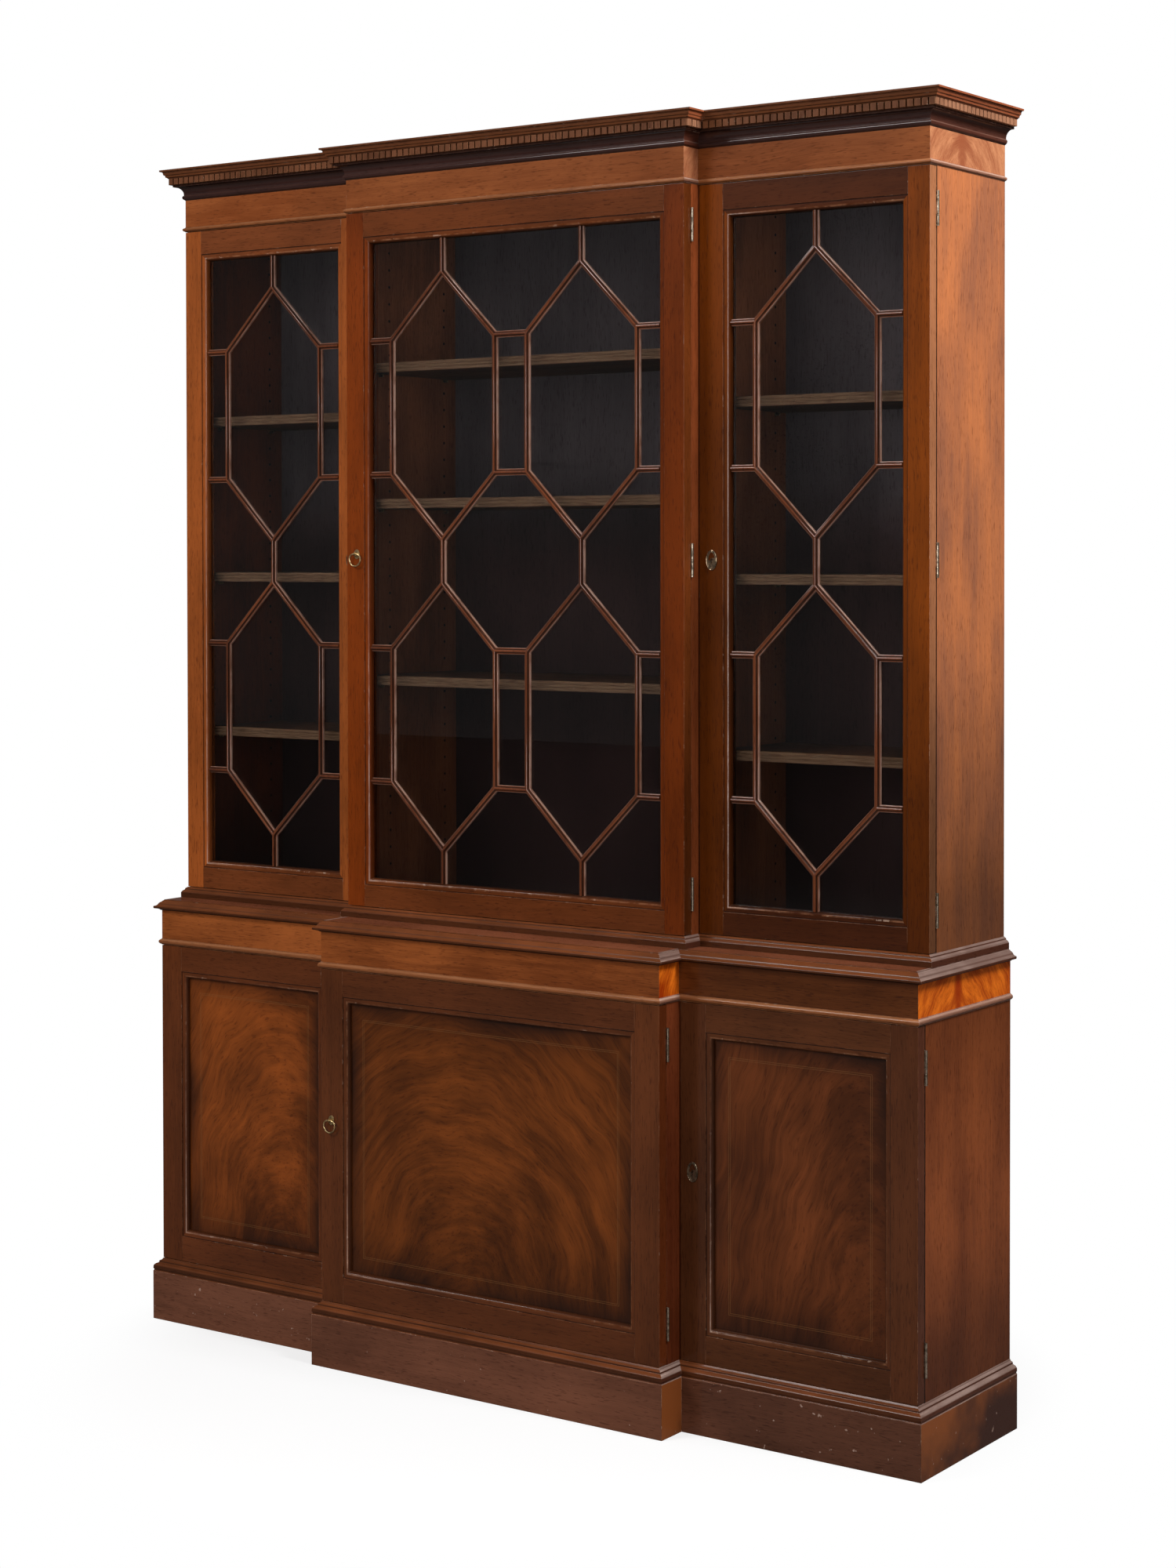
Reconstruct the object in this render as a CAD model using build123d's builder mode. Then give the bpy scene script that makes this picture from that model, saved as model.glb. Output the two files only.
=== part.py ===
from build123d import *

import os
from dataclasses import dataclass
from math import atan2, cos, degrees, hypot, pi, radians, sin, sqrt, tan

# Breakfront bookcase: a glazed upper case on a panelled base, three sections wide, the middle one stepping
# forward.
# Millimetres, +X to the right, +Y to the back, +Z up, origin under the middle of the overall box.

# Plan of the two storeys
centre_width = 754.0
base_width = 1682.0
base_wing_depth = 325.0
base_break = 60.5
case_end_inset = 12.5
case_wing_depth = 265.0
case_break = 44.0

# Heights, from the floor up
plinth_height = 94.0
plinth_moulding_height = 24.0
base_door_zone = 616.0
base_bead_height = 12.0
base_frieze_height = 55.5
base_top_height = 20.5
waist_height = 20.0
case_door_zone = 1288.0
case_bead_height = 9.0
case_frieze_height = 52.5
cove_height = 26.5
dentil_height = 15.5
crown_height = 16.5

# How far each moulding stands out of the storey's face
plinth_projection = 14.0
base_bead_projection = 5.0
base_top_projection = 12.0
waist_projection = 10.0
case_bead_projection = 4.5
cove_projection = 17.5
dentil_projection = 23.8
crown_projection = 36.0

# Boards and joints
board = 20.0
frieze_board = 20.0
back_panel = 9.0
joint_gap = 0.1
floor_lap = 6.0
top_edge_backing = 8.0
bearer_width = 40.0

# Doors
door_thickness = 22.0
door_seat = 0.5
door_clearance = 1.0
door_side_gap = 3.0
sticking_width = 13.0
quirk_depth = 1.8
ovolo_radius = 8.0
groove_depth = 6.0
groove_play = 0.3
case_stile = 41.0
case_lock_stile = 48.0
case_top_rail = 45.0
case_bottom_rail = 40.0
base_stile = 51.0
base_rail = 48.0
glass_thickness = 3.0
glass_setback = 12.5
panel_thickness = 8.0
panel_setback = 10.5

# Glazing bars
bar_width = 12.0
bar_depth = 5.0
bead_width = 5.0
bead_depth = 4.0
stub_length = 74.0
link_length = 81.0
hexagon_margin = 61.0
hexagon_spacing = 72.0
hexagon_angle = 45.0

# Dentils
dentil_pitch = 13.8
dentil_slot = 2.6
dentil_fillet = 3.5

# Shelves and their pegs
shelf_thickness = 18.0
shelf_side_gap = 1.0
shelf_setback = 14.0
shelf_reed_depth = 1.6
reeds_per_edge = 3
wing_shelf_heights = [1141.0, 1444.0, 1749.0]
centre_shelf_heights = [1253.0, 1582.0, 1835.0]
base_shelf_height = 430.0
peg_radius = 3.0
peg_length = 20.0
peg_standout = 9.0
peg_inset = 35.0
peg_play = 0.05

# Butt hinges
hinge_height = 58.0
hinge_leaf = 15.0
hinge_leaf_thickness = 1.5
hinge_leaf_gap = 0.2
hinge_recess_play = 0.05
knuckle_radius = 2.6
knuckle_gap = 0.2
knuckles = 3
hinge_pin_radius = 1.2
hinge_pin_play = 0.05
hinge_standoff = 0.3
hinge_inset = 70.0

# Locks of the wing doors
lock_width = 34.0
lock_height = 48.0
lock_thickness = 11.0
lock_play = 0.1
bolt_length = 20.0
bolt_thickness = 4.0
bolt_height = 12.0
bolt_play = 0.15
bolt_throw = 8.0
strike_play = 1.0
keyhole_inset = 25.0
keyhole_radius = 2.2
keyhole_slot = 2.0
keyhole_drop = 7.0
escutcheon_width = 22.0
escutcheon_height = 35.0
escutcheon_thickness = 1.2
escutcheon_rim = 3.0
escutcheon_rim_rise = 0.9
base_fitting_rise = 18.0

# Drop pulls of the centre doors
pull_inset = 24.0
pull_plate_width = 13.0
pull_plate_height = 18.0
pull_plate_thickness = 1.5
pull_lug_width = 3.2
pull_lug_radius = 3.4
pull_pivot_standout = 6.5
pull_wire_radius = 1.5
pull_wire_play = 0.05
pull_shoulder_radius = 9.0
pull_bow_radius = 13.2

# Bullet catches of the centre doors
catch_radius = 4.5
catch_length = 14.0
catch_play = 0.05
catch_nose_radius = 3.0
catch_nose_rise = 1.5
catch_nose_play = 0.4
catch_below_middle = 60.0

# Overrun of every cutting solid
overrun = 5.0

# Sides of the many small round pieces; such a section is wider across its corners than its flats
rod_sides = 6
oval_sides = 16
bow_sides = 8
shoulder_sides = 3
rod_corner_share = 1 / cos(pi / rod_sides)

# Worked out from the sizes above
case_width = base_width - 2 * case_end_inset
overall_depth = base_wing_depth + base_break + plinth_projection
back_y = overall_depth / 2
half_centre = centre_width / 2
base_door_low = plinth_height + plinth_moulding_height
base_door_high = base_door_low + base_door_zone
base_frieze_low = base_door_high + base_bead_height
base_top_low = base_frieze_low + base_frieze_height
case_low = base_top_low + base_top_height
case_door_low = case_low + waist_height
case_door_high = case_door_low + case_door_zone
case_frieze_low = case_door_high + case_bead_height
cove_low = case_frieze_low + case_frieze_height
dentil_low = cove_low + cove_height
crown_low = dentil_low + dentil_height
kerf_length = 4 * (crown_projection + door_thickness)


@dataclass(frozen=True)
class Storey:
    """The sizes that the base and the upper case each have."""

    name: str
    half: float
    wing_depth: float
    step: float
    low: float
    door_low: float
    door_high: float
    high: float
    stile: float
    lock_stile: float
    top_rail: float
    bottom_rail: float
    hinges: int
    fitting_z: float

    @property
    def wing_front(self):
        return back_y - self.wing_depth

    @property
    def centre_front(self):
        return self.wing_front - self.step

    def front(self, section):
        return self.centre_front if section == "centre" else self.wing_front

    def carcass_front(self, section):
        return self.front(section) + door_thickness + door_seat

    def bay(self, section):
        """Left and right inner faces of a section's compartment."""
        inner, outer = half_centre + board, self.half - board
        spans = {"left": (-outer, -inner), "centre": (board - half_centre, half_centre - board)}
        return spans.get(section, (inner, outer))

    def door_span(self, section):
        """Left and right edges of a section's door."""
        inner = half_centre + door_side_gap
        spans = {"left": (-self.half, -inner), "centre": (-half_centre, half_centre)}
        return spans.get(section, (inner, self.half))

    def outline(self, offset):
        """Corners of the stepped front, from the back left round to the back right."""
        side, inner = self.half + offset, half_centre + offset
        wing, centre = self.wing_front - offset, self.centre_front - offset
        left = [(-side, back_y), (-side, wing), (-inner, wing), (-inner, centre)]
        return left + [(-x, y) for x, y in reversed(left)]


base = Storey(
    "base", base_width / 2, base_wing_depth, base_break, plinth_height, base_door_low, base_door_high,
    base_frieze_low, base_stile, base_stile, base_rail, base_rail, 2,
    (base_door_low + base_door_high) / 2 + base_fitting_rise,
)
case = Storey(
    "case", case_width / 2, case_wing_depth, case_break, case_low, case_door_low, case_door_high,
    case_frieze_low, case_stile, case_lock_stile, case_top_rail, case_bottom_rail, 3,
    (case_door_low + case_door_high) / 2,
)
sections = ["left", "centre", "right"]
shelf_heights = {
    ("base", "left"): [base_shelf_height],
    ("base", "centre"): [base_shelf_height],
    ("base", "right"): [base_shelf_height],
    ("case", "left"): wing_shelf_heights,
    ("case", "centre"): centre_shelf_heights,
    ("case", "right"): wing_shelf_heights,
}


def keep(piece, label):
    """Label a finished piece and write it."""
    piece.part.label = label
    export_step(piece.part, f"parts/{label}.step")


def block(x_span, y_span, z_span, mode=Mode.ADD):
    """A box between three pairs of faces, in the open part."""
    spans = [sorted(span) for span in (x_span, y_span, z_span)]
    with Locations(tuple((low + high) / 2 for low, high in spans)):
        Box(*(high - low for low, high in spans), mode=mode)


def draw_rod(radius, length):
    """A small round bar about Z, with few sides because the part has so many of them."""
    with BuildPart() as rod:
        with BuildSketch():
            RegularPolygon(radius, rod_sides)
        extrude(amount=length / 2, both=True)
    return rod.part


def saw_mitres(storey, offset, low, height):
    """Saw the stepped run into its mitred lengths."""
    for x, y in storey.outline(offset)[1:-1]:
        turn = 45 if x < 0 else -45
        with Locations(Location((x, y, low + height / 2), (0, 0, turn))):
            Box(kerf_length, joint_gap, height + overrun, mode=Mode.SUBTRACT)


def add_oval(face, half_width, half_height, rise, mode=Mode.ADD):
    """An upright oval of short straights on a plane, in the open part."""
    turns = [2 * pi * step / oval_sides for step in range(oval_sides)]
    with BuildSketch(face) as oval:
        Polygon(*[(half_width * cos(turn), half_height * sin(turn)) for turn in turns], align=None)
    extrude(oval.sketch, amount=rise, mode=mode)


def draw_route(storey, low):
    """The stepped front at one height, from the back left round to the back right."""
    with BuildLine() as route:
        Polyline(*[(x, y, low) for x, y in storey.outline(0)])
    return route.line


def clear_carcass(storey, low, height):
    """Cut a moulding back to the faces of the carcass boards."""
    z_span = (low - overrun, low + height + overrun)
    whole_span, centre_span = (-storey.half, storey.half), (-half_centre, half_centre)
    block(whole_span, (storey.carcass_front("left"), back_y + overrun), z_span, Mode.SUBTRACT)
    block(centre_span, (storey.carcass_front("centre"), back_y + overrun), z_span, Mode.SUBTRACT)


def draw_section(storey, low, points, projection, height, backing):
    """A moulding's section, from shares of its projection and height, with arcs where a bulge is given."""
    x, y = storey.outline(0)[0]
    start = (backing, 0)
    here = start
    with BuildSketch(Plane(origin=(x, y, low), x_dir=(1, 0, 0), z_dir=(0, -1, 0))) as section:
        with BuildLine():
            for out_share, up_share, bulge_share in points:
                there = (-projection * out_share, height * up_share)
                if bulge_share:
                    SagittaArc(here, there, bulge_share * height)
                else:
                    Line(here, there)
                here = there
            Polyline(here, (backing, height), start)
        make_face()
    return section.sketch


# Sections of the mouldings: shares of projection out and of height up, then the bulge as a share of height
plinth_moulding_shares = [
    (1.0, 0.0, 0), (0.9, 0.12, 0), (0.93, 0.22, 0), (1.0, 0.35, 0), (0.98, 0.45, 0), (0.72, 0.58, 0),
    (0.55, 0.62, 0), (0.42, 0.74, 0), (0.3, 0.82, 0), (0.08, 0.93, 0), (0.0, 1.0, 0),
]
bead_shares = [(0.1, 0.0, 0), (0.6, 0.14, 0), (1.0, 0.36, 0), (1.0, 0.62, 0), (0.65, 0.86, 0), (0.1, 1.0, 0)]
base_top_shares = [
    (0.14, 0.0, 0), (0.83, 0.17, 0), (1.0, 0.25, 0), (1.0, 0.34, 0), (0.89, 0.42, 0), (0.45, 0.6, 0),
    (0.08, 0.8, 0), (-0.04, 0.88, 0), (-0.23, 0.95, 0), (-0.23, 1.0, 0),
]
waist_shares = [
    (1.0, 0.0, 0), (1.0, 0.4, 0), (0.9, 0.55, 0), (0.68, 0.68, 0), (0.42, 0.86, 0), (0.05, 1.0, 0),
]
cove_shares = [
    (0.0, 0.0, 0), (0.14, 0.08, 0), (0.25, 0.2, 0), (0.22, 0.32, 0), (0.13, 0.38, 0),
    (0.69, 0.97, 0.1), (1.0, 0.98, 0), (1.0, 1.0, 0),
]
crown_shares = [
    (0.66, 0.0, 0), (0.68, 0.06, 0), (0.76, 0.14, 0), (0.78, 0.36, 0), (0.83, 0.4, 0),
    (0.86, 0.66, 0), (0.89, 0.72, 0), (0.89, 0.78, 0), (1.0, 0.8, 0), (1.0, 1.0, 0),
]


def make_moulding(label, storey, low, height, projection, points, backing, on_carcass):
    """One moulding of the stepped front, in mitred lengths."""
    section = draw_section(storey, low, points, projection, height, backing)
    route = draw_route(storey, low)
    with BuildPart() as moulding:
        sweep(section, path=route, transition=Transition.RIGHT)
        if on_carcass:
            clear_carcass(storey, low, height)
        saw_mitres(storey, 0, low, height)
    keep(moulding, label)


def draw_ring(storey, outer, inner):
    """Draw a stepped band, open at the back, in the open sketch."""
    Polygon(*storey.outline(outer), align=None)
    inside = storey.outline(inner)
    (left, _), (right, _) = inside[0], inside[-1]
    hollow = [(left, back_y + overrun)] + inside[1:-1] + [(right, back_y + overrun)]
    Polygon(*hollow, align=None, mode=Mode.SUBTRACT)


def add_bearers(storey, low, height, front_inner, back_board):
    """Cross bearers under or over the partitions, from the front boards to the back."""
    for side in (-1, 1):
        x_span = (side * (half_centre - bearer_width / 2), side * (half_centre + bearer_width / 2))
        y_span = (storey.wing_front + front_inner + joint_gap, back_y - back_board)
        block(x_span, y_span, (low, low + height))


def make_plinth():
    inner = plinth_projection - board
    with BuildPart() as plinth_boards:
        with BuildSketch():
            draw_ring(base, plinth_projection, inner)
        extrude(amount=plinth_height)
        saw_mitres(base, plinth_projection, 0, plinth_height)
        rail_end = base.half + inner - joint_gap
        block((-rail_end, rail_end), (back_y - board, back_y), (0, plinth_height))
        add_bearers(base, 0, plinth_height, board - plinth_projection, board + joint_gap)
    keep(plinth_boards, "plinth_boards")


def make_frieze(storey, height):
    with BuildPart() as frieze:
        with BuildSketch(Plane.XY.offset(storey.high)):
            draw_ring(storey, 0, -frieze_board)
        extrude(amount=height)
        saw_mitres(storey, 0, storey.high, height)
        add_bearers(storey, storey.high, height, frieze_board, 0)
    keep(frieze, f"{storey.name}_frieze")


def hinge_heights(storey):
    """Middle heights of a door's hinges."""
    low = storey.door_low + hinge_inset
    high = storey.door_high - hinge_inset
    return [low + (high - low) * step / (storey.hinges - 1) for step in range(storey.hinges)]


def hinge_side(section):
    return -1 if section == "left" else 1


def hinge_axis(storey, section):
    """Place of a door's hinge line in plan."""
    edge = half_centre if section == "centre" else storey.half
    joint = storey.front(section) + door_thickness + door_seat / 2
    return hinge_side(section) * (edge + hinge_standoff + knuckle_radius), joint


def cut_hinge_recess(storey, section, toward):
    """Recess for the leaves, in the back of a door (-1) or in the front edge of a side (1)."""
    axis_x, joint = hinge_axis(storey, section)
    side = hinge_side(section)
    edge = abs(axis_x) - knuckle_radius - hinge_standoff
    deep = hinge_leaf_gap / 2 + hinge_leaf_thickness + hinge_recess_play
    reach = edge - hinge_leaf - hinge_recess_play
    half_height = hinge_height / 2 + hinge_recess_play
    for middle in hinge_heights(storey):
        z_span = (middle - half_height, middle + half_height)
        block((side * reach, side * (edge + overrun)), (joint, joint + toward * deep), z_span, Mode.SUBTRACT)


def hinge_places(storey, section):
    """Middles of a door's hinge lines."""
    axis_x, joint = hinge_axis(storey, section)
    return [Location((axis_x, joint, middle)) for middle in hinge_heights(storey)]


def knuckle_spans(fixed):
    """Height spans of the knuckles of the fixed leaf or of the door's leaf, about the hinge's middle."""
    step = hinge_height / knuckles
    turns = range(0 if fixed else 1, knuckles, 2)
    lows = [turn * step - hinge_height / 2 for turn in turns]
    return [(low + knuckle_gap / 2, low + step - knuckle_gap / 2) for low in lows]


def add_knuckle(span, radius, mode=Mode.ADD):
    with Locations((0, 0, (span[0] + span[1]) / 2)):
        add(draw_rod(radius, span[1] - span[0]), mode=mode)


def draw_hinge_leaf(side, fixed):
    """One leaf with its knuckles, about the middle of the hinge line; the fixed leaf also holds the pin."""
    edge = -side * (knuckle_radius + hinge_standoff)
    toward = 1 if fixed else -1
    near = toward * hinge_leaf_gap / 2
    y_span = (near, near + toward * hinge_leaf_thickness)
    whole = (-hinge_height / 2, hinge_height / 2)
    spans = knuckle_spans(fixed)
    with BuildPart() as leaf:
        block((edge - side * hinge_leaf, edge), y_span, whole)
        for span in spans:
            block((edge, 0), y_span, span)
            add_knuckle(span, knuckle_radius)
        if fixed:
            add_knuckle((spans[0][0], spans[-1][1]), hinge_pin_radius)
        else:
            bore = (hinge_pin_radius + hinge_pin_play) * rod_corner_share
            add_knuckle(whole, bore, Mode.SUBTRACT)
    return leaf.part


def make_fixed_hinge_leaves():
    with BuildPart() as leaves:
        for side in (-1, 1):
            leaf = draw_hinge_leaf(side, True)
            chosen = [(storey, section) for storey in (base, case) for section in sections]
            places = [hinge_places(*pair) for pair in chosen if hinge_side(pair[1]) == side]
            with Locations(*sum(places, [])):
                add(leaf)
    keep(leaves, "fixed_hinge_leaves")


def peg_places(storey, section):
    """Outer ends of the shelf pegs: x, y, z and the way each stands out of its side."""
    left, right = storey.bay(section)
    ys = (storey.carcass_front(section) + shelf_setback + peg_inset, back_y - back_panel - peg_inset)
    places = []
    for height in shelf_heights[storey.name, section]:
        for y in ys:
            places += [(left, y, height - peg_radius, 1), (right, y, height - peg_radius, -1)]
    return places


def add_pegs(storey, chosen, play, mode=Mode.ADD):
    """The pegs of the chosen sections or, with a play, the holes that they fit."""
    length = peg_length + play
    places = []
    for section in chosen:
        for x, y, z, way in peg_places(storey, section):
            middle = x + way * (peg_standout - length / 2)
            places.append(Location((middle, y, z), (0, 90, 0)))
    with Locations(*places):
        add(draw_rod(peg_radius + play, length), mode=mode)


def make_pegs():
    with BuildPart() as shelf_pegs:
        add_pegs(base, sections, 0)
        add_pegs(case, sections, 0)
    keep(shelf_pegs, "shelf_pegs")


def make_outer_sides(storey):
    with BuildPart() as sides:
        for side in (-1, 1):
            x_span = (side * (storey.half - board), side * storey.half)
            block(x_span, (storey.carcass_front("left"), back_y), (storey.low, storey.high))
        cut_hinge_recess(storey, "left", 1)
        cut_hinge_recess(storey, "right", 1)
        add_pegs(storey, ("left", "right"), peg_play, Mode.SUBTRACT)
    keep(sides, f"{storey.name}_outer_sides")


def cut_strikes(storey):
    """Cut the holes that the wing doors' bolts shoot into."""
    y = storey.wing_front + door_thickness / 2
    half_y = bolt_thickness / 2 + strike_play
    half_z = bolt_height / 2 + strike_play
    depth = bolt_throw - door_side_gap + strike_play
    for side in (-1, 1):
        x_span = (side * (half_centre - depth), side * (half_centre + joint_gap / 2))
        z_span = (storey.fitting_z - half_z, storey.fitting_z + half_z)
        block(x_span, (y - half_y, y + half_y), z_span, Mode.SUBTRACT)


def make_partitions(storey):
    """The sides of the middle section and the inner sides of the wings, four boards."""
    with BuildPart() as partitions:
        for side in (-1, 1):
            middle = (side * (half_centre - board), side * (half_centre - joint_gap / 2))
            wing = (side * (half_centre + joint_gap / 2), side * (half_centre + board))
            block(middle, (storey.carcass_front("centre"), back_y), (storey.low, storey.high))
            block(wing, (storey.carcass_front("left"), back_y), (storey.low, storey.high))
        cut_hinge_recess(storey, "centre", 1)
        add_pegs(storey, sections, peg_play, Mode.SUBTRACT)
        cut_strikes(storey)
        with Locations(catch_place(storey, 0)):
            add(draw_rod(catch_radius + catch_play, 2 * (catch_length + joint_gap)), mode=Mode.SUBTRACT)
    keep(partitions, f"{storey.name}_partitions")


def catch_place(storey, inward):
    """A point on the catch's line, in the front edge of the left side of the middle section."""
    mouth = storey.carcass_front("centre")
    middle = (storey.door_low + storey.door_high) / 2
    return Location((board / 2 - half_centre, mouth + inward, middle - catch_below_middle), (90, 0, 0))


def make_catches():
    """Brass barrels with a sprung nose that stands out into a hollow of the door."""
    with BuildPart() as catches:
        for storey in (base, case):
            with Locations(catch_place(storey, catch_length / 2)):
                add(draw_rod(catch_radius, catch_length))
            with Locations(catch_place(storey, 0)):
                add(draw_rod(catch_nose_radius, 2 * catch_nose_rise))
    keep(catches, "door_catches")


def make_level_boards(storey):
    """The floor and top boards of the three compartments."""
    rear = back_y - back_panel
    floor_top = storey.door_low + floor_lap
    with BuildPart() as boards:
        for section in sections:
            y_span = (storey.carcass_front(section), rear)
            block(storey.bay(section), y_span, (floor_top - board, floor_top))
            block(storey.bay(section), y_span, (storey.high - board, storey.high))
    keep(boards, f"{storey.name}_level_boards")


def make_backs(storey, high):
    with BuildPart() as backs:
        for section in sections:
            block(storey.bay(section), (back_y - back_panel, back_y), (storey.low, high))
    keep(backs, f"{storey.name}_back_panels")


# Section of one reed of a shelf's edge: shares of the reed's depth out and of its height up
reed_shares = [(0.0, 0.0), (0.8, 0.2), (1.0, 0.5), (0.8, 0.8)]


def add_shelf(storey, section, low):
    """A shelf on its pegs, with a reeded front edge."""
    left, right = storey.bay(section)
    edge = storey.carcass_front(section) + shelf_setback + shelf_reed_depth
    rear = back_y - back_panel - shelf_side_gap
    high = low + shelf_thickness
    reed = shelf_thickness / reeds_per_edge
    reeds = [
        (edge - shelf_reed_depth * out_share, low + (turn + up_share) * reed)
        for turn in range(reeds_per_edge)
        for out_share, up_share in reed_shares
    ]
    side_plane = Plane(origin=(left + shelf_side_gap, 0, 0), x_dir=(0, 1, 0), z_dir=(1, 0, 0))
    with BuildSketch(side_plane) as outline:
        Polygon(*reeds, (edge, high), (rear, high), (rear, low), align=None)
    extrude(outline.sketch, amount=right - left - 2 * shelf_side_gap)


def make_shelves(label, storey, chosen):
    with BuildPart() as shelves:
        for section in chosen:
            for height in shelf_heights[storey.name, section]:
                add_shelf(storey, section, height)
    keep(shelves, label)


def make_base_top():
    """Three flat boards inside the moulded edge."""
    inset = top_edge_backing
    with BuildPart() as base_top:
        z_span = (base_top_low, case_low)
        seam = half_centre - inset
        block((inset - half_centre, seam), (base.centre_front + inset, back_y), z_span)
        for side in (-1, 1):
            x_span = (side * (seam + joint_gap), side * (base.half - inset))
            block(x_span, (base.wing_front + inset, back_y), z_span)
    keep(base_top, "base_top")


def dentil_runs():
    """Start, end and way of each straight of the dentil band's face."""
    corners = case.outline(dentil_projection)
    return list(zip(corners, corners[1:]))


def add_dentil_slots():
    """Cut the gaps between the dentils, evenly along each straight."""
    slot_depth = dentil_projection - cove_projection
    for (x0, y0), (x1, y1) in dentil_runs():
        length = abs(x1 - x0) + abs(y1 - y0)
        count = round(length / dentil_pitch)
        places = [(x0 + (x1 - x0) * n / count, y0 + (y1 - y0) * n / count) for n in range(1, count)]
        along_x = abs(x1 - x0) > abs(y1 - y0)
        size = (dentil_slot, 2 * slot_depth) if along_x else (2 * slot_depth, dentil_slot)
        with Locations(*places):
            Rectangle(*size, mode=Mode.SUBTRACT)


def make_dentils():
    with BuildPart() as dentils:
        with BuildSketch(Plane.XY.offset(dentil_low)):
            draw_ring(case, cove_projection, -frieze_board)
        extrude(amount=dentil_fillet)
        with BuildSketch(Plane.XY.offset(dentil_low + dentil_fillet)):
            draw_ring(case, dentil_projection, -frieze_board)
            add_dentil_slots()
        extrude(amount=dentil_height - dentil_fillet)
        saw_mitres(case, 0, dentil_low, dentil_height)
    keep(dentils, "dentil_moulding")


@dataclass(frozen=True)
class Door:
    """One door: its edges, opening and thickness."""

    storey: Storey
    section: str

    @property
    def span(self):
        return self.storey.door_span(self.section)

    @property
    def low(self):
        return self.storey.door_low + door_clearance

    @property
    def high(self):
        return self.storey.door_high - door_clearance

    @property
    def front(self):
        return self.storey.front(self.section)

    @property
    def opening(self):
        """Outer edges of the sticking: left, right, low and high."""
        left, right = self.span
        hinged, free = self.storey.stile, self.storey.lock_stile
        if self.section == "centre":
            free = hinged
        stiles = (hinged, free) if self.section == "left" else (free, hinged)
        low, high = self.low + self.storey.bottom_rail, self.high - self.storey.top_rail
        return left + stiles[0], right - stiles[1], low, high

    @property
    def free_edge(self):
        """The edge away from the hinges and the way that points off it."""
        left, right = self.span
        return (right, 1) if self.section == "left" else (left, -1)


def cut_window(door, inset, y_span):
    left, right, low, high = door.opening
    block((left + inset, right - inset), y_span, (low + inset, high - inset), Mode.SUBTRACT)


def saw_frame_joints(door):
    """Saw the frame into two stiles and two rails, mitred through the sticking."""
    left, right, low, high = door.opening
    y_span = (door.front - overrun, door.front + door_thickness + overrun)
    for x in (left, right):
        joint = (x - joint_gap / 2, x + joint_gap / 2)
        block(joint, y_span, (door.low - overrun, low), Mode.SUBTRACT)
        block(joint, y_span, (high, door.high + overrun), Mode.SUBTRACT)
    middle = door.front + door_thickness / 2
    reach = (sticking_width + joint_gap) * sqrt(2)
    for x, inward in ((left, 1), (right, -1)):
        for z, up in ((low, 1), (high, -1)):
            place = (x + inward * sticking_width / 2, middle, z + up * sticking_width / 2)
            with Locations(Location(place, (0, -45 * inward * up, 0))):
                Box(reach, door_thickness + overrun, joint_gap, mode=Mode.SUBTRACT)


def cut_lock_pocket(door):
    """The lock's pocket in the free edge, and the keyhole in front of it."""
    edge, way = door.free_edge
    z = door.storey.fitting_z
    middle = door.front + door_thickness / 2
    half_y = lock_thickness / 2 + lock_play
    half_z = lock_height / 2 + lock_play
    x_span = (edge + way * overrun, edge - way * (lock_width + lock_play))
    block(x_span, (middle - half_y, middle + half_y), (z - half_z, z + half_z), Mode.SUBTRACT)
    keyhole_x = edge - way * keyhole_inset
    cut_keyhole(keyhole_x, (door.front - overrun, middle), z)


def cut_keyhole(x, y_span, z):
    with Locations(Location((x, (y_span[0] + y_span[1]) / 2, z), (90, 0, 0))):
        add(draw_rod(keyhole_radius, y_span[1] - y_span[0]), mode=Mode.SUBTRACT)
    half_slot = keyhole_slot / 2
    block((x - half_slot, x + half_slot), y_span, (z - keyhole_drop, z), Mode.SUBTRACT)


def cut_catch_hollow(door):
    """The hollow that the catch's nose springs into."""
    with Locations(catch_place(door.storey, 0)):
        hollow = draw_rod(catch_nose_radius + catch_nose_play, 2 * (catch_nose_rise + catch_nose_play))
        add(hollow, mode=Mode.SUBTRACT)


def make_door_frame(door, setback, infill):
    """Stiles and rails with an ovolo worked round the opening and a groove for what it holds."""
    front = door.front
    back = front + door_thickness
    with BuildPart() as frame:
        block(door.span, (front, back), (door.low, door.high))
        cut_window(door, sticking_width, (front - overrun, back + overrun))
        cut_window(door, 0, (front - overrun, front + quirk_depth))
        rims = frame.edges().filter_by_position(Axis.Y, front + quirk_depth, front + quirk_depth)
        left, right, low, high = door.opening
        near = sticking_width / 2
        inner = [edge for edge in rims if left + near < edge.center().X < right - near
                 and low + near < edge.center().Z < high - near]
        fillet(inner, radius=ovolo_radius)
        groove = (front + setback - groove_play / 2, front + setback + infill + groove_play / 2)
        cut_window(door, sticking_width - groove_depth, groove)
        saw_frame_joints(door)
        cut_hinge_recess(door.storey, door.section, -1)
        if door.section == "centre":
            cut_catch_hollow(door)
        else:
            cut_lock_pocket(door)
    keep(frame, f"{door.storey.name}_{door.section}_door_frame")


def make_infill(door, setback, thickness, label):
    """The pane or the panel, held in the frame's groove."""
    left, right, low, high = door.opening
    inset = sticking_width - groove_depth + groove_play
    y_span = (door.front + setback, door.front + setback + thickness)
    with BuildPart() as infill:
        block((left + inset, right - inset), y_span, (low + inset, high - inset))
    keep(infill, f"{door.storey.name}_{door.section}_door_{label}")


def hexagon_columns(door):
    """Middles and half width of the hexagon columns."""
    left, right, _, _ = door.opening
    count = 2 if door.section == "centre" else 1
    half = (right - left - 2 * hexagon_margin - (count - 1) * hexagon_spacing) / (2 * count)
    first = left + hexagon_margin + half
    return [first + n * (2 * half + hexagon_spacing) for n in range(count)], half


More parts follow.
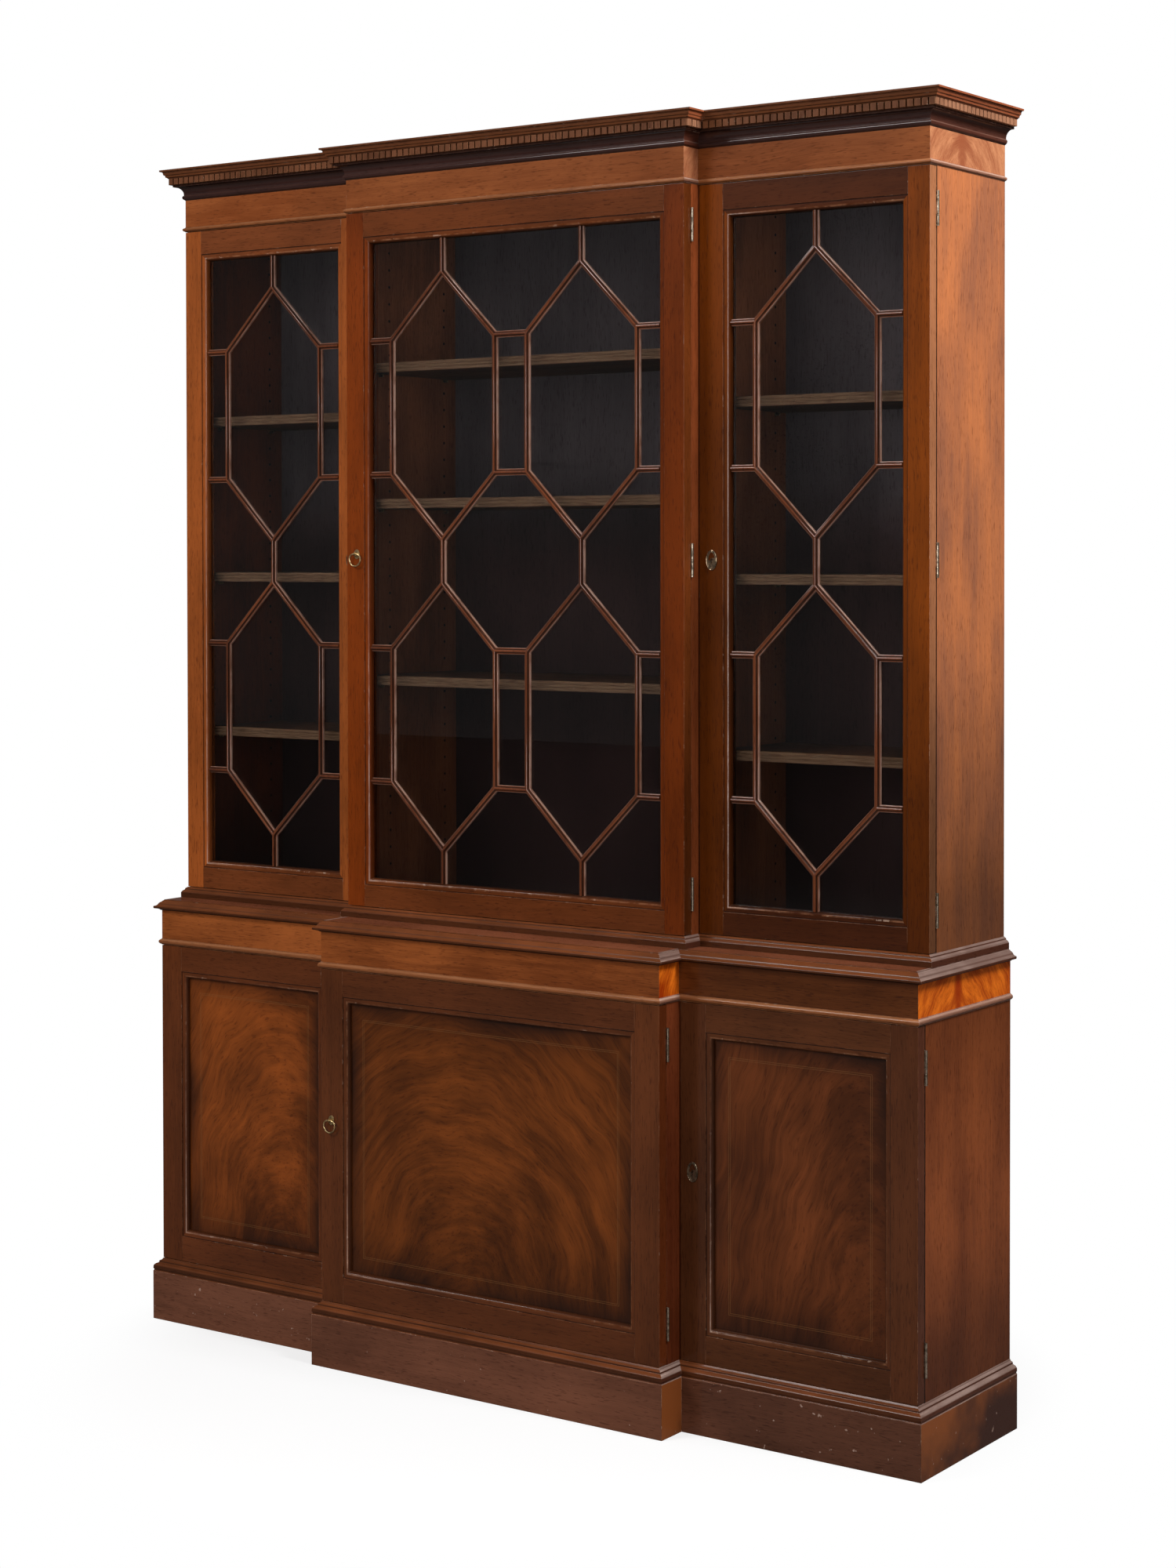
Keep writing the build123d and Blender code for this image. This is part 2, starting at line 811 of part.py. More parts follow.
def hexagon_corners(x, low, half, rise, tall):
    """Corners of one upright hexagon, from its lower tip round."""
    right = [(x, low), (x + half, low + rise), (x + half, low + tall - rise)]
    left = [(x, low + tall), (x - half, low + tall - rise), (x - half, low + rise)]
    return right + left


def lattice_lines(door):
    """Centre lines of the glazing bars: the hexagons' sides, then the bars that tie them to the frame."""
    left, right, low, high = door.opening
    columns, half = hexagon_columns(door)
    rise = half * tan(radians(hexagon_angle))
    tall = (high - low - 2 * stub_length - link_length) / 2
    inset = sticking_width + joint_gap
    sides, ties = [], []
    for bottom in (low + stub_length, high - stub_length - tall):
        for x in columns:
            corners = hexagon_corners(x, bottom, half, rise, tall)
            sides += list(zip(corners, corners[1:] + corners[:1]))
        for z in (bottom + rise, bottom + tall - rise):
            shoulders = [x + way * half for x in columns for way in (-1, 1)]
            stops = [left + inset] + shoulders + [right - inset]
            ties += [((a, z), (b, z)) for a, b in zip(stops[::2], stops[1::2])]
    for x in columns:
        ties.append(((x, low + inset), (x, low + stub_length)))
        ties.append(((x, low + stub_length + tall), (x, high - stub_length - tall)))
        ties.append(((x, high - stub_length), (x, high - inset)))
    return sides, ties


def add_bars(door, width, back, depth):
    """Square bars of one width along the lattice's lines, mitred where the hexagons turn."""
    sides, ties = lattice_lines(door)
    mitre = width * tan(radians(hexagon_angle / 2))
    for lines, extra in ((sides, mitre), (ties, 0)):
        for (x0, z0), (x1, z1) in lines:
            turn = degrees(atan2(z0 - z1, x1 - x0))
            place = ((x0 + x1) / 2, back - depth / 2, (z0 + z1) / 2)
            with Locations(Location(place, (0, turn, 0))):
                Box(hypot(x1 - x0, z1 - z0) + extra, depth, width)


def make_glazing_bars(door):
    """A flat fillet with a narrow raised bead down the middle, lying on the glass."""
    glass = door.front + glass_setback - joint_gap
    with BuildPart() as bars:
        add_bars(door, bar_width, glass, bar_depth)
        add_bars(door, bead_width, glass - bar_depth, bead_depth)
    keep(bars, f"{door.storey.name}_{door.section}_door_glazing_bars")


def make_door_hinge_leaves(door):
    leaf = draw_hinge_leaf(hinge_side(door.section), False)
    with BuildPart() as leaves:
        with Locations(*hinge_places(door.storey, door.section)):
            add(leaf)
    keep(leaves, f"{door.storey.name}_{door.section}_door_hinge_leaves")


def draw_escutcheon(face):
    """An oval plate with a raised rim, standing on a plane."""
    half_width, half_height = escutcheon_width / 2, escutcheon_height / 2
    rim = escutcheon_rim
    with BuildPart() as plate:
        add_oval(face, half_width, half_height, escutcheon_thickness + escutcheon_rim_rise)
        top = face.offset(escutcheon_thickness)
        add_oval(top, half_width - rim, half_height - rim, escutcheon_rim_rise, Mode.SUBTRACT)
    return plate.part


def make_lock(door):
    """The lock's case in the free edge and the oval escutcheon on the face."""
    edge, way = door.free_edge
    z = door.storey.fitting_z
    middle = door.front + door_thickness / 2
    with BuildPart() as lock:
        x_span = (edge, edge - way * lock_width)
        y_span = (middle - lock_thickness / 2, middle + lock_thickness / 2)
        block(x_span, y_span, (z - lock_height / 2, z + lock_height / 2))
        half_y = bolt_thickness / 2 + bolt_play
        half_z = bolt_height / 2 + bolt_play
        channel = (edge + way * overrun, edge - way * (bolt_length + bolt_play))
        block(channel, (middle - half_y, middle + half_y), (z - half_z, z + half_z), Mode.SUBTRACT)
        keyhole_x = edge - way * keyhole_inset
        add(draw_escutcheon(Plane(origin=(keyhole_x, door.front, z), x_dir=(1, 0, 0), z_dir=(0, -1, 0))))
        cut_keyhole(keyhole_x, (door.front - overrun, door.front + joint_gap), z)
    keep(lock, f"{door.storey.name}_{door.section}_door_lock")
    make_bolt(door, middle, z)


def make_bolt(door, y, z):
    """The bolt, flush with the door's edge when drawn."""
    edge, way = door.free_edge
    with BuildPart() as bolt:
        x_span = (edge, edge - way * bolt_length)
        y_span = (y - bolt_thickness / 2, y + bolt_thickness / 2)
        block(x_span, y_span, (z - bolt_height / 2, z + bolt_height / 2))
    keep(bolt, f"{door.storey.name}_{door.section}_door_bolt")


def pull_pivot(door):
    """The line that a door's drop handle turns about: x, y and z of its middle."""
    edge, way = door.free_edge
    drop = pull_shoulder_radius + pull_bow_radius
    return edge - way * pull_inset, door.front - pull_pivot_standout, door.storey.fitting_z + drop / 2


def make_pull(door):
    """An oval plate with one pierced lug, and the bell-shaped wire drop that hangs through it."""
    x, y, z = pull_pivot(door)
    lug = (x - pull_lug_width / 2, x + pull_lug_width / 2)
    with BuildPart() as plate:
        face = Plane(origin=(x, door.front, z), x_dir=(1, 0, 0), z_dir=(0, -1, 0))
        add_oval(face, pull_plate_width / 2, pull_plate_height / 2, pull_plate_thickness)
        block(lug, (y, door.front - pull_plate_thickness), (z - pull_lug_radius, z + pull_lug_radius))
        with Locations(Location((x, y, z), (0, 90, 0))):
            add(draw_rod(pull_lug_radius, pull_lug_width))
            bore = (pull_wire_radius + pull_wire_play) * rod_corner_share
            add(draw_rod(bore, pull_lug_width + overrun), mode=Mode.SUBTRACT)
    keep(plate, f"{door.storey.name}_pull_plate")
    make_drop(door, x, y, z)


def turn_points(middle, radius, start, sweep_angle, sides):
    """Corners of a bend made of short straights, from its start to its end."""
    turns = [radians(start + sweep_angle * step / sides) for step in range(sides + 1)]
    return [(middle[0] + radius * cos(turn), middle[1] + radius * sin(turn)) for turn in turns]


def make_drop(door, x, y, z):
    """The drop: a wire straight through the lug, with turned shoulders and a half-round bow."""
    bow, shoulder = pull_bow_radius, pull_shoulder_radius
    straight = bow - shoulder
    points = turn_points((straight, -shoulder), shoulder, 90, -90, shoulder_sides)
    points += turn_points((0, -shoulder), bow, 0, -180, bow_sides)[1:-1]
    points += turn_points((-straight, -shoulder), shoulder, 180, -90, shoulder_sides)
    with BuildLine(Plane(origin=(x, y, z), x_dir=(1, 0, 0), z_dir=(0, -1, 0))) as wire:
        Polyline((0, 0), *points, (0, 0))
    with BuildSketch(Plane(origin=(x, y, z), z_dir=(1, 0, 0))) as section:
        RegularPolygon(pull_wire_radius, rod_sides)
    with BuildPart() as drop:
        sweep(section.sketch, path=wire.line, transition=Transition.RIGHT)
    keep(drop, f"{door.storey.name}_pull_drop")


def make_storey(storey, back_high):
    make_outer_sides(storey)
    make_partitions(storey)
    make_level_boards(storey)
    make_backs(storey, back_high)
    for section in sections:
        door = Door(storey, section)
        make_door_hinge_leaves(door)
        if storey is case:
            make_door_frame(door, glass_setback, glass_thickness)
            make_infill(door, glass_setback, glass_thickness, "glass")
            make_glazing_bars(door)
        else:
            make_door_frame(door, panel_setback, panel_thickness)
            make_infill(door, panel_setback, panel_thickness, "panel")
        if section == "centre":
            make_pull(door)
        else:
            make_lock(door)


def make_mouldings():
    wood, board_edge = door_thickness, frieze_board
    top_edge = top_edge_backing - joint_gap
    bead, top = base_bead_height, base_top_height
    make_moulding(
        "plinth_moulding", base, plinth_height, plinth_moulding_height, plinth_projection,
        plinth_moulding_shares, wood, True,
    )
    make_moulding(
        "base_frieze_bead", base, base_door_high, bead, base_bead_projection, bead_shares, wood, True,
    )
    make_moulding(
        "base_top_moulding", base, base_top_low, top, base_top_projection, base_top_shares, top_edge, False,
    )
    make_moulding(
        "waist_moulding", case, case_low, waist_height, waist_projection, waist_shares, wood, True,
    )
    bead = case_bead_height
    make_moulding(
        "case_frieze_bead", case, case_door_high, bead, case_bead_projection, bead_shares, wood, True,
    )
    make_moulding(
        "cornice_cove", case, cove_low, cove_height, cove_projection, cove_shares, board_edge, False,
    )
    make_moulding(
        "cornice_crown", case, crown_low, crown_height, crown_projection, crown_shares, board_edge, False,
    )


def main():
    os.makedirs("parts", exist_ok=True)
    make_plinth()
    make_storey(base, base_top_low)
    make_frieze(base, base_frieze_height)
    make_base_top()
    make_storey(case, cove_low)
    make_frieze(case, case_frieze_height)
    make_dentils()
    make_mouldings()
    make_fixed_hinge_leaves()
    make_catches()
    make_pegs()
    make_shelves("base_shelves", base, sections)
    for section in sections:
        make_shelves(f"case_shelves_{section}", case, [section])


if __name__ == "__main__":
    main()
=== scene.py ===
"""A breakfront bookcase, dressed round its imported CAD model.

Metres, +X to the right, +Y to the back, +Z up.
"""

import logging
from dataclasses import dataclass
from enum import Enum
from math import atan2, cos, hypot, pi, radians, sin
from typing import Callable, Iterable, Sequence

import bmesh
import bpy
from mathutils import Matrix, Vector


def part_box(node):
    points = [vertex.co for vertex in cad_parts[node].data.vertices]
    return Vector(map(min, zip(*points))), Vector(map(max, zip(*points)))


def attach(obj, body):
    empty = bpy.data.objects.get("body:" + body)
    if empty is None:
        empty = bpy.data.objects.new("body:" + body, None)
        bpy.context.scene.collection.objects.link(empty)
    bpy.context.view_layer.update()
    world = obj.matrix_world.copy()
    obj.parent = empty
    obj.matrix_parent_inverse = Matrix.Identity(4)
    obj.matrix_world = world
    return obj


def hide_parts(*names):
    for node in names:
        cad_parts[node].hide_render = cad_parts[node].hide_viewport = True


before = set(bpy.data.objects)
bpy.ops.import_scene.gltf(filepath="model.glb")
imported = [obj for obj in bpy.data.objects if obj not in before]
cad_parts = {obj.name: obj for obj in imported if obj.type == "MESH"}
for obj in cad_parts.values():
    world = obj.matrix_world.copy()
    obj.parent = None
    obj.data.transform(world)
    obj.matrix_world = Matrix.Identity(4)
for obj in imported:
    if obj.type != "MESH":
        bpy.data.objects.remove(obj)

log = logging.getLogger("bookcase")

MM = 0.001
SMOOTH_BELOW = radians(32)
# Edges of a round bar that bend by more than this, in radians, are its rims
RIM_TURN = 1.0
# A face that is nearer to a plane than this lies in it
TOUCH = 0.1 * MM
# The bulge of a quarter round, as a share of its radius
QUARTER_ROUND = 0.293

Point = tuple[float, float]
Triple = tuple[float, float, float]
Colour = tuple[float, float, float, float]
Shades = tuple[Colour, Colour]
# Painted shade and light along axes: each axis, where it starts and ends, and the last share there
PaintedShading = tuple[tuple[Triple, float, float, float], ...]
Socket = bpy.types.NodeSocket


def tint(red: float, green: float, blue: float) -> Colour:
    """A colour, from its linear parts."""
    return red, green, blue, 1.0


WHITE = tint(1, 1, 1)
# Near black for painted shade in quirks, down the sticking, under mouldings and round panel borders
PAINTED_SHADE_TONE = tint(0.012, 0.004, 0.002)
DOWN: Triple = (0, 0, -1)
UP: Triple = (0, 0, 1)
RIGHTWARD: Triple = (1, 0, 0)


class Storey(Enum):
    """The two halves of the bookcase, one on the other."""

    BASE = "base"
    CASE = "case"


class Section(Enum):
    """The three doors' widths of each storey."""

    LEFT = "left"
    CENTRE = "centre"
    RIGHT = "right"


class Grain(Enum):
    """The way a board's grain runs, as the turn that brings it onto X."""

    ALONG_X = (0.0, 0.0, 0.0)
    ALONG_Y = (0.0, 0.0, -pi / 2)
    ALONG_Z = (0.0, pi / 2, 0.0)


# Shader graphs


class Graph:
    """A node tree that is filled by short calls."""

    def __init__(self, tree: bpy.types.NodeTree) -> None:
        """Keep the tree that is filled."""
        self.tree = tree

    def feed(self, socket: Socket, value: object) -> None:
        """Link a socket to an input, or set the input's own value.

        Args:
            socket: the input.
            value: a socket, or the value.
        """
        if isinstance(value, Socket):
            self.tree.links.new(value, socket)
        else:
            socket.default_value = value

    def node(self, kind: str, inputs: dict | None = None, **settings: object) -> bpy.types.Node:
        """Make a node.

        Args:
            kind: the node's type.
            inputs: values or sockets, by the input's name or number.
            settings: the node's own settings.

        Returns:
            The node.
        """
        made = self.tree.nodes.new(kind)
        for key, value in settings.items():
            setattr(made, key, value)
        for key, value in (inputs or {}).items():
            self.feed(made.inputs[key], value)
        return made

    def math(self, operation: str, *values: object) -> Socket:
        """One step of arithmetic on numbers."""
        made = self.node("ShaderNodeMath", dict(enumerate(values)), operation=operation)
        return made.outputs[0]

    def vector(self, operation: str, *values: object) -> Socket:
        """One step of arithmetic on vectors.

        Args:
            operation: the step.
            values: what it takes.

        Returns:
            A number for a length, a distance or a dot product, otherwise a vector.
        """
        made = self.node("ShaderNodeVectorMath", dict(enumerate(values)), operation=operation)
        single = operation in ("LENGTH", "DISTANCE", "DOT_PRODUCT")
        return made.outputs["Value" if single else "Vector"]

    def times(self, first: object, second: object) -> Socket:
        """The product of two numbers."""
        return self.math("MULTIPLY", first, second)

    def gap(self, first: object, second: object) -> Socket:
        """How far two numbers are apart."""
        return self.math("ABSOLUTE", self.math("SUBTRACT", first, second))

    def hypotenuse(self, first: Socket, second: Socket) -> Socket:
        """The length of two numbers that stand square to each other."""
        return self.math("SQRT", self.math("MULTIPLY_ADD", first, first, self.times(second, second)))

    def total(self, *parts: tuple[float, Socket]) -> Socket:
        """Numbers added by their shares.

        Args:
            parts: each number's share and the number.

        Returns:
            The sum.
        """
        tone = 0.0
        for share, part in parts:
            tone = self.math("MULTIPLY_ADD", part, share, tone)
        return tone

    def join(self, *parts: object) -> Socket:
        """A vector from its X, Y and Z."""
        return self.node("ShaderNodeCombineXYZ", dict(enumerate(parts))).outputs[0]

    def split(self, vector: Socket) -> list[Socket]:
        """X, Y and Z of a vector."""
        return list(self.node("ShaderNodeSeparateXYZ", {0: vector}).outputs)

    def place(self) -> Socket:
        """The point on the object, in metres."""
        return self.node("ShaderNodeTexCoord").outputs["Object"]

    def facing(self, kind: str = "True Normal") -> Socket:
        """The way that the surface faces."""
        return self.node("ShaderNodeNewGeometry").outputs[kind]

    def kept(self, name: str) -> Socket:
        """A number that the mesh keeps at its vertices."""
        return self.node("ShaderNodeAttribute", attribute_name=name).outputs["Fac"]

    def group(self, tree: bpy.types.NodeTree, inputs: dict) -> bpy.types.Node:
        """A node group with its inputs."""
        return self.node("ShaderNodeGroup", inputs, node_tree=tree)

    def drawn(self, vector: object, scale: Triple, detail: float, roughness: float = 0.5) -> Socket:
        """Noise from 0 to 1, drawn out by an own scale on each axis."""
        return self.noise(self.vector("MULTIPLY", vector, scale), 1.0, detail, roughness)

    def noise(self, vector: object, scale: float, detail: float = 2.0, roughness: float = 0.5) -> Socket:
        """Noise from 0 to 1."""
        inputs = {"Vector": vector, "Scale": scale, "Detail": detail, "Roughness": roughness}
        return self.node("ShaderNodeTexNoise", inputs).outputs[0]

    def warp(self, vector: object, scale: float, detail: float, reach: Triple) -> Socket:
        """A noise about zero on each axis, to shift a place by.

        Args:
            vector: the place.
            scale: how fine the noise is.
            detail: how many finer noises lie over it.
            reach: how far it goes on each axis.

        Returns:
            The shift.
        """
        inputs = {"Vector": vector, "Scale": scale, "Detail": detail}
        colour = self.node("ShaderNodeTexNoise", inputs).outputs["Color"]
        return self.vector("MULTIPLY", self.vector("SUBTRACT", colour, (0.5, 0.5, 0.5)), reach)

    def window(
        self, value: Socket, low: object, high: object, start: object = 0.0, end: object = 1.0
    ) -> Socket:
        """A number brought smoothly from one span, low to high, to another, start to end, and held there."""
        inputs = {"Value": value, 1: low, 2: high, 3: start, 4: end}
        return self.node("ShaderNodeMapRange", inputs, interpolation_type="SMOOTHSTEP").outputs[0]

    def blend(self, share: object, first: object, second: object, mode: str = "MIX") -> Socket:
        """Mix two colours.

        Args:
            share: the second colour's share.
            first: the first colour.
            second: the second colour.
            mode: how the second colour is laid over the first.

        Returns:
            The mixed colour.
        """
        made = self.node("ShaderNodeMix", data_type="RGBA", blend_type=mode)
        self.feed(made.inputs[0], share)
        self.feed(made.inputs[6], first)
        self.feed(made.inputs[7], second)
        return made.outputs[2]


def shader_group(name: str, takes: dict[str, str], gives: dict[str, str]) -> Callable:
    """Turn a function that fills a node group into one that gives the group, made once.

    Args:
        name: the group's name.
        takes: the inputs' names by type, with spaces between them.
        gives: the outputs' names in the same way.

    Returns:
        What turns the function, which takes the graph and the inputs by name and returns the outputs by name.
    """

    def turn(fill: Callable[[Graph, dict], dict]) -> Callable[[], bpy.types.NodeTree]:
        """Keep the function in the one that gives the group."""
        return lambda: made_group(name, takes, gives, fill)

    return turn


def made_group(
    name: str, takes: dict[str, str], gives: dict[str, str], fill: Callable[[Graph, dict], dict]
) -> bpy.types.NodeTree:
    """The group of a name, made if there is none.

    Args:
        name: the group's name.
        takes: the inputs' names by type.
        gives: the outputs' names by type.
        fill: fills the group.

    Returns:
        The group.
    """
    if name in bpy.data.node_groups:
        return bpy.data.node_groups[name]
    tree = bpy.data.node_groups.new(name, "ShaderNodeTree")
    for way, sockets in (("INPUT", takes), ("OUTPUT", gives)):
        for kind, labels in sockets.items():
            for label in labels.split():
                tree.interface.new_socket(name=label, in_out=way, socket_type=f"NodeSocket{kind}")
    graph = Graph(tree)
    given = graph.node("NodeGroupInput").outputs
    labels = " ".join(takes.values()).split()
    graph.node("NodeGroupOutput", fill(graph, {label: given[label] for label in labels}))
    return tree


def pored(graph: Graph, tone: Socket, pores: Socket, given: dict, deep: Colour) -> Socket:
    """Wood between its dark and its light, with deeper pores.

    Args:
        graph: the group's graph.
        tone: nothing for dark wood, one for light wood.
        pores: the pores' mask.
        given: the group's inputs.
        deep: the share of the wood's colour that is left in a pore.

    Returns:
        The colour.
    """
    colour = graph.blend(tone, given["Dark"], given["Light"])
    return graph.blend(graph.times(pores, 0.6), colour, graph.blend(1.0, colour, deep, "MULTIPLY"))


WOOD_GIVES = {"Color": "Color", "Float": "Roughness Height"}


@shader_group(
    "straight mahogany", {"Vector": "Vector", "Color": "Dark Light", "Float": "Contrast Seed"}, WOOD_GIVES
)
def wood_group(graph: Graph, given: dict) -> dict:
    """Straight mahogany, its grain along X: bands and clouds, faint streaks, fibres and short dark pores.

    Args:
        graph: the group's graph.
        given: its inputs, by name.

    Returns:
        Its outputs, by name.
    """
    shift = graph.vector("MULTIPLY", (13.1, 7.7, 5.3), graph.join(*[given["Seed"]] * 3))
    place = graph.vector("ADD", given["Vector"], shift)
    place = graph.vector("ADD", place, graph.warp(place, 2.6, 2.0, (0.0, 0.03, 0.03)))
    bands = graph.drawn(place, (1.1, 9.0, 9.0), 2.0)
    clouds = graph.drawn(place, (4.0, 9.0, 9.0), 3.0, 0.55)
    streak = graph.drawn(place, (2.6, 130.0, 130.0), 3.0, 0.6)
    fibre = graph.drawn(place, (20.0, 620.0, 620.0), 2.0, 0.6)
    pores = graph.window(graph.drawn(place, (60.0, 460.0, 460.0), 1.0), 0.56, 0.74)
    tone = graph.total((0.33, bands), (0.37, clouds), (0.16, streak), (0.14, fibre))
    tone = graph.math("SUBTRACT", graph.window(tone, 0.35, 0.65), 0.5)
    tone = graph.math("MULTIPLY_ADD", tone, given["Contrast"], 0.5)
    colour = pored(graph, tone, pores, given, tint(0.42, 0.34, 0.30))
    rough = graph.math("MULTIPLY_ADD", streak, 0.14, graph.math("MULTIPLY_ADD", pores, 0.16, 0.36))
    height = graph.math("SUBTRACT", graph.times(fibre, 0.5), pores)
    return {"Color": colour, "Roughness": rough, "Height": height}


@shader_group(
    "flame figure", {"Vector": "Vector Focus", "Float": "Arch Lean Seed", "Color": "Dark Light"}, WOOD_GIVES
)
def flame_group(graph: Graph, given: dict) -> dict:
    """Flame figure: feathers that arch over a focus and come and go in clouds.

    Args:
        graph: the group's graph.
        given: its inputs, by name.

    Returns:
        Its outputs, by name.
    """
    away = graph.vector("SUBTRACT", given["Vector"], given["Focus"])
    away = graph.vector("ADD", away, graph.warp(given["Vector"], 5.0, 2.0, (0.10, 0.10, 0.10)))
    across, _, up = graph.split(away)
    up = graph.times(up, given["Arch"])
    reach = graph.hypotenuse(across, up)
    side, rise = (graph.math("DIVIDE", part, graph.math("ADD", reach, 0.01)) for part in (across, up))
    ring = graph.math("MULTIPLY_ADD", side, given["Lean"], reach)
    seeded = graph.join(given["Seed"], given["Seed"])
    fan = graph.vector("ADD", graph.join(ring, side, rise), seeded)
    feather = graph.drawn(fan, (20.0, 1.5, 1.5), 3.0, 0.6)
    fibre = graph.drawn(fan, (120.0, 3.0, 3.0), 3.0, 0.65)
    patch = graph.noise(graph.vector("ADD", given["Vector"], seeded), 5.5, 3.0, 0.55)
    pores = graph.window(graph.drawn(fan, (460.0, 22.0, 22.0), 1.0), 0.56, 0.74)
    tone = graph.window(graph.total((0.42, feather), (0.28, fibre), (0.30, patch)), 0.36, 0.66)
    colour = pored(graph, tone, pores, given, tint(0.5, 0.42, 0.4))
    return {"Color": colour, "Roughness": graph.math("MULTIPLY_ADD", fibre, 0.14, 0.36), "Height": fibre}


@shader_group("painted shading", {"Vector": "Vector Axis", "Float": "From To Last"}, {"Float": "Share"})
def painted_shading_group(graph: Graph, given: dict) -> dict:
    """Painted shade: a tone that goes from full to a last share between two places along an axis, with a
    cloudy border.

    Args:
        graph: the group's graph.
        given: its inputs, by name.

    Returns:
        Its outputs, by name.
    """
    along = graph.vector("DOT_PRODUCT", given["Vector"], given["Axis"])
    cloud = graph.math("MULTIPLY_ADD", graph.noise(given["Vector"], 5.0), 0.2, -0.1)
    along = graph.math("ADD", along, cloud)
    return {"Share": graph.window(along, given["From"], given["To"], 1.0, given["Last"])}


@shader_group("rubbed edges", {"Float": "Radius Amount"}, {"Float": "Mask Chips", "Vector": "Normal"})
def wear_group(graph: Graph, given: dict) -> dict:
    """Rubbed arrises: masks of the edges and of the chips in them, and a normal that rounds them.

    Args:
        graph: the group's graph.
        given: its inputs, by name.

    Returns:
        Its outputs, by name.
    """
    rounded = graph.node("ShaderNodeBevel", {"Radius": given["Radius"]}, samples=4).outputs[0]
    edge = graph.window(graph.vector("DOT_PRODUCT", rounded, graph.facing()), 0.93, 0.995, 1.0, 0.0)
    place = graph.place()
    broken = graph.window(graph.noise(place, 38.0, 3.0, 0.65), 0.38, 0.62)
    chips = graph.window(graph.noise(place, 60.0, 3.0, 0.7), 0.61, 0.65)
    masks = [graph.times(graph.times(edge, part), given["Amount"]) for part in (broken, chips)]
    return {"Mask": masks[0], "Chips": masks[1], "Normal": rounded}


@shader_group(
    "string and border",
    {"Vector": "Vector Centre Half", "Float": "Inset Gap Line Reach"},
    {"Float": "Line Shade"},
)
def border_group(graph: Graph, given: dict) -> dict:
    """The border of an upright rectangle: its string lines, and painted shade that darkens toward it.

    Args:
        graph: the group's graph.
        given: its inputs, by name.

    Returns:
        Its outputs, by name.
    """
    away = graph.vector("ABSOLUTE", graph.vector("SUBTRACT", given["Vector"], given["Centre"]))
    x, _, z = graph.split(graph.vector("SUBTRACT", given["Half"], away))
    inside = graph.math("MINIMUM", x, z)
    places = given["Inset"], graph.math("ADD", given["Inset"], given["Gap"])
    half_line = graph.times(given["Line"], 0.5)
    lines = [graph.math("LESS_THAN", graph.gap(inside, place), half_line) for place in places]
    # Painted shade, darker toward the border
    inputs = {"Value": inside, 1: 0.0, 2: given["Reach"], 3: 1.0, 4: 0.0}
    shade = graph.node("ShaderNodeMapRange", inputs).outputs[0]
    cloud = graph.window(graph.noise(given["Vector"], 5.0), 0.3, 0.7, 0.35, 1.0)
    shade = graph.times(graph.times(shade, shade), cloud)
    return {"Line": graph.math("MAXIMUM", *lines), "Shade": shade}


@shader_group("peg holes", {"Vector": "Vector", "Float": "Pitch Front Back Radius"}, {"Float": "Mask"})
def peg_hole_group(graph: Graph, given: dict) -> dict:
    """Two columns of small holes in an upright side.

    Args:
        graph: the group's graph.
        given: its inputs, by name.

    Returns:
        Its outputs, by name.
    """
    _, y, z = graph.split(given["Vector"])
    turn = graph.math("FRACT", graph.math("DIVIDE", z, given["Pitch"]))
    dz = graph.times(graph.math("SUBTRACT", turn, 0.5), given["Pitch"])
    dy = graph.math("MINIMUM", *(graph.gap(y, given[name]) for name in ("Front", "Back")))
    return {"Mask": graph.math("LESS_THAN", graph.hypotenuse(dy, dz), given["Radius"])}


@shader_group(
    "brass tarnish", {"Color": "Bright Dull", "Float": "Amount"}, {"Float": "Mask", "Color": "Color"}
)
def tarnish_group(graph: Graph, given: dict) -> dict:
    """Brown tarnish on brass: patches with fine specks.

    Args:
        graph: the group's graph.
        given: its inputs, by name.

    Returns:
        Its outputs, by name.
    """
    place = graph.place()
    patches = graph.window(graph.noise(place, 160.0, 3.0, 0.6), 0.40, 0.62)
    specks = graph.window(graph.noise(place, 900.0), 0.55, 0.68)
    mask = graph.times(graph.math("MAXIMUM", patches, specks), given["Amount"])
    return {"Mask": mask, "Color": graph.blend(mask, given["Bright"], given["Dull"])}


# Finishes


@dataclass(frozen=True)
class Finish:
    """What every surface finish has: a name, under which its material is made once."""

    name: str

    def material(self) -> bpy.types.Material:
        """The finish's material.

        Returns:
            The material, made when it is first asked for.
        """
        if self.name not in bpy.data.materials:
            made = bpy.data.materials.new(self.name)
            made.use_nodes = True
            made.node_tree.nodes.clear()
            graph = Graph(made.node_tree)
            graph.node("ShaderNodeOutputMaterial", {"Surface": self.surface(graph)})
        return bpy.data.materials[self.name]

    def surface(self, graph: Graph) -> Socket:
        """The shader at the end of the material's graph.

        Args:
            graph: the material's graph.

        Returns:
            The shader.
        """
        raise NotImplementedError


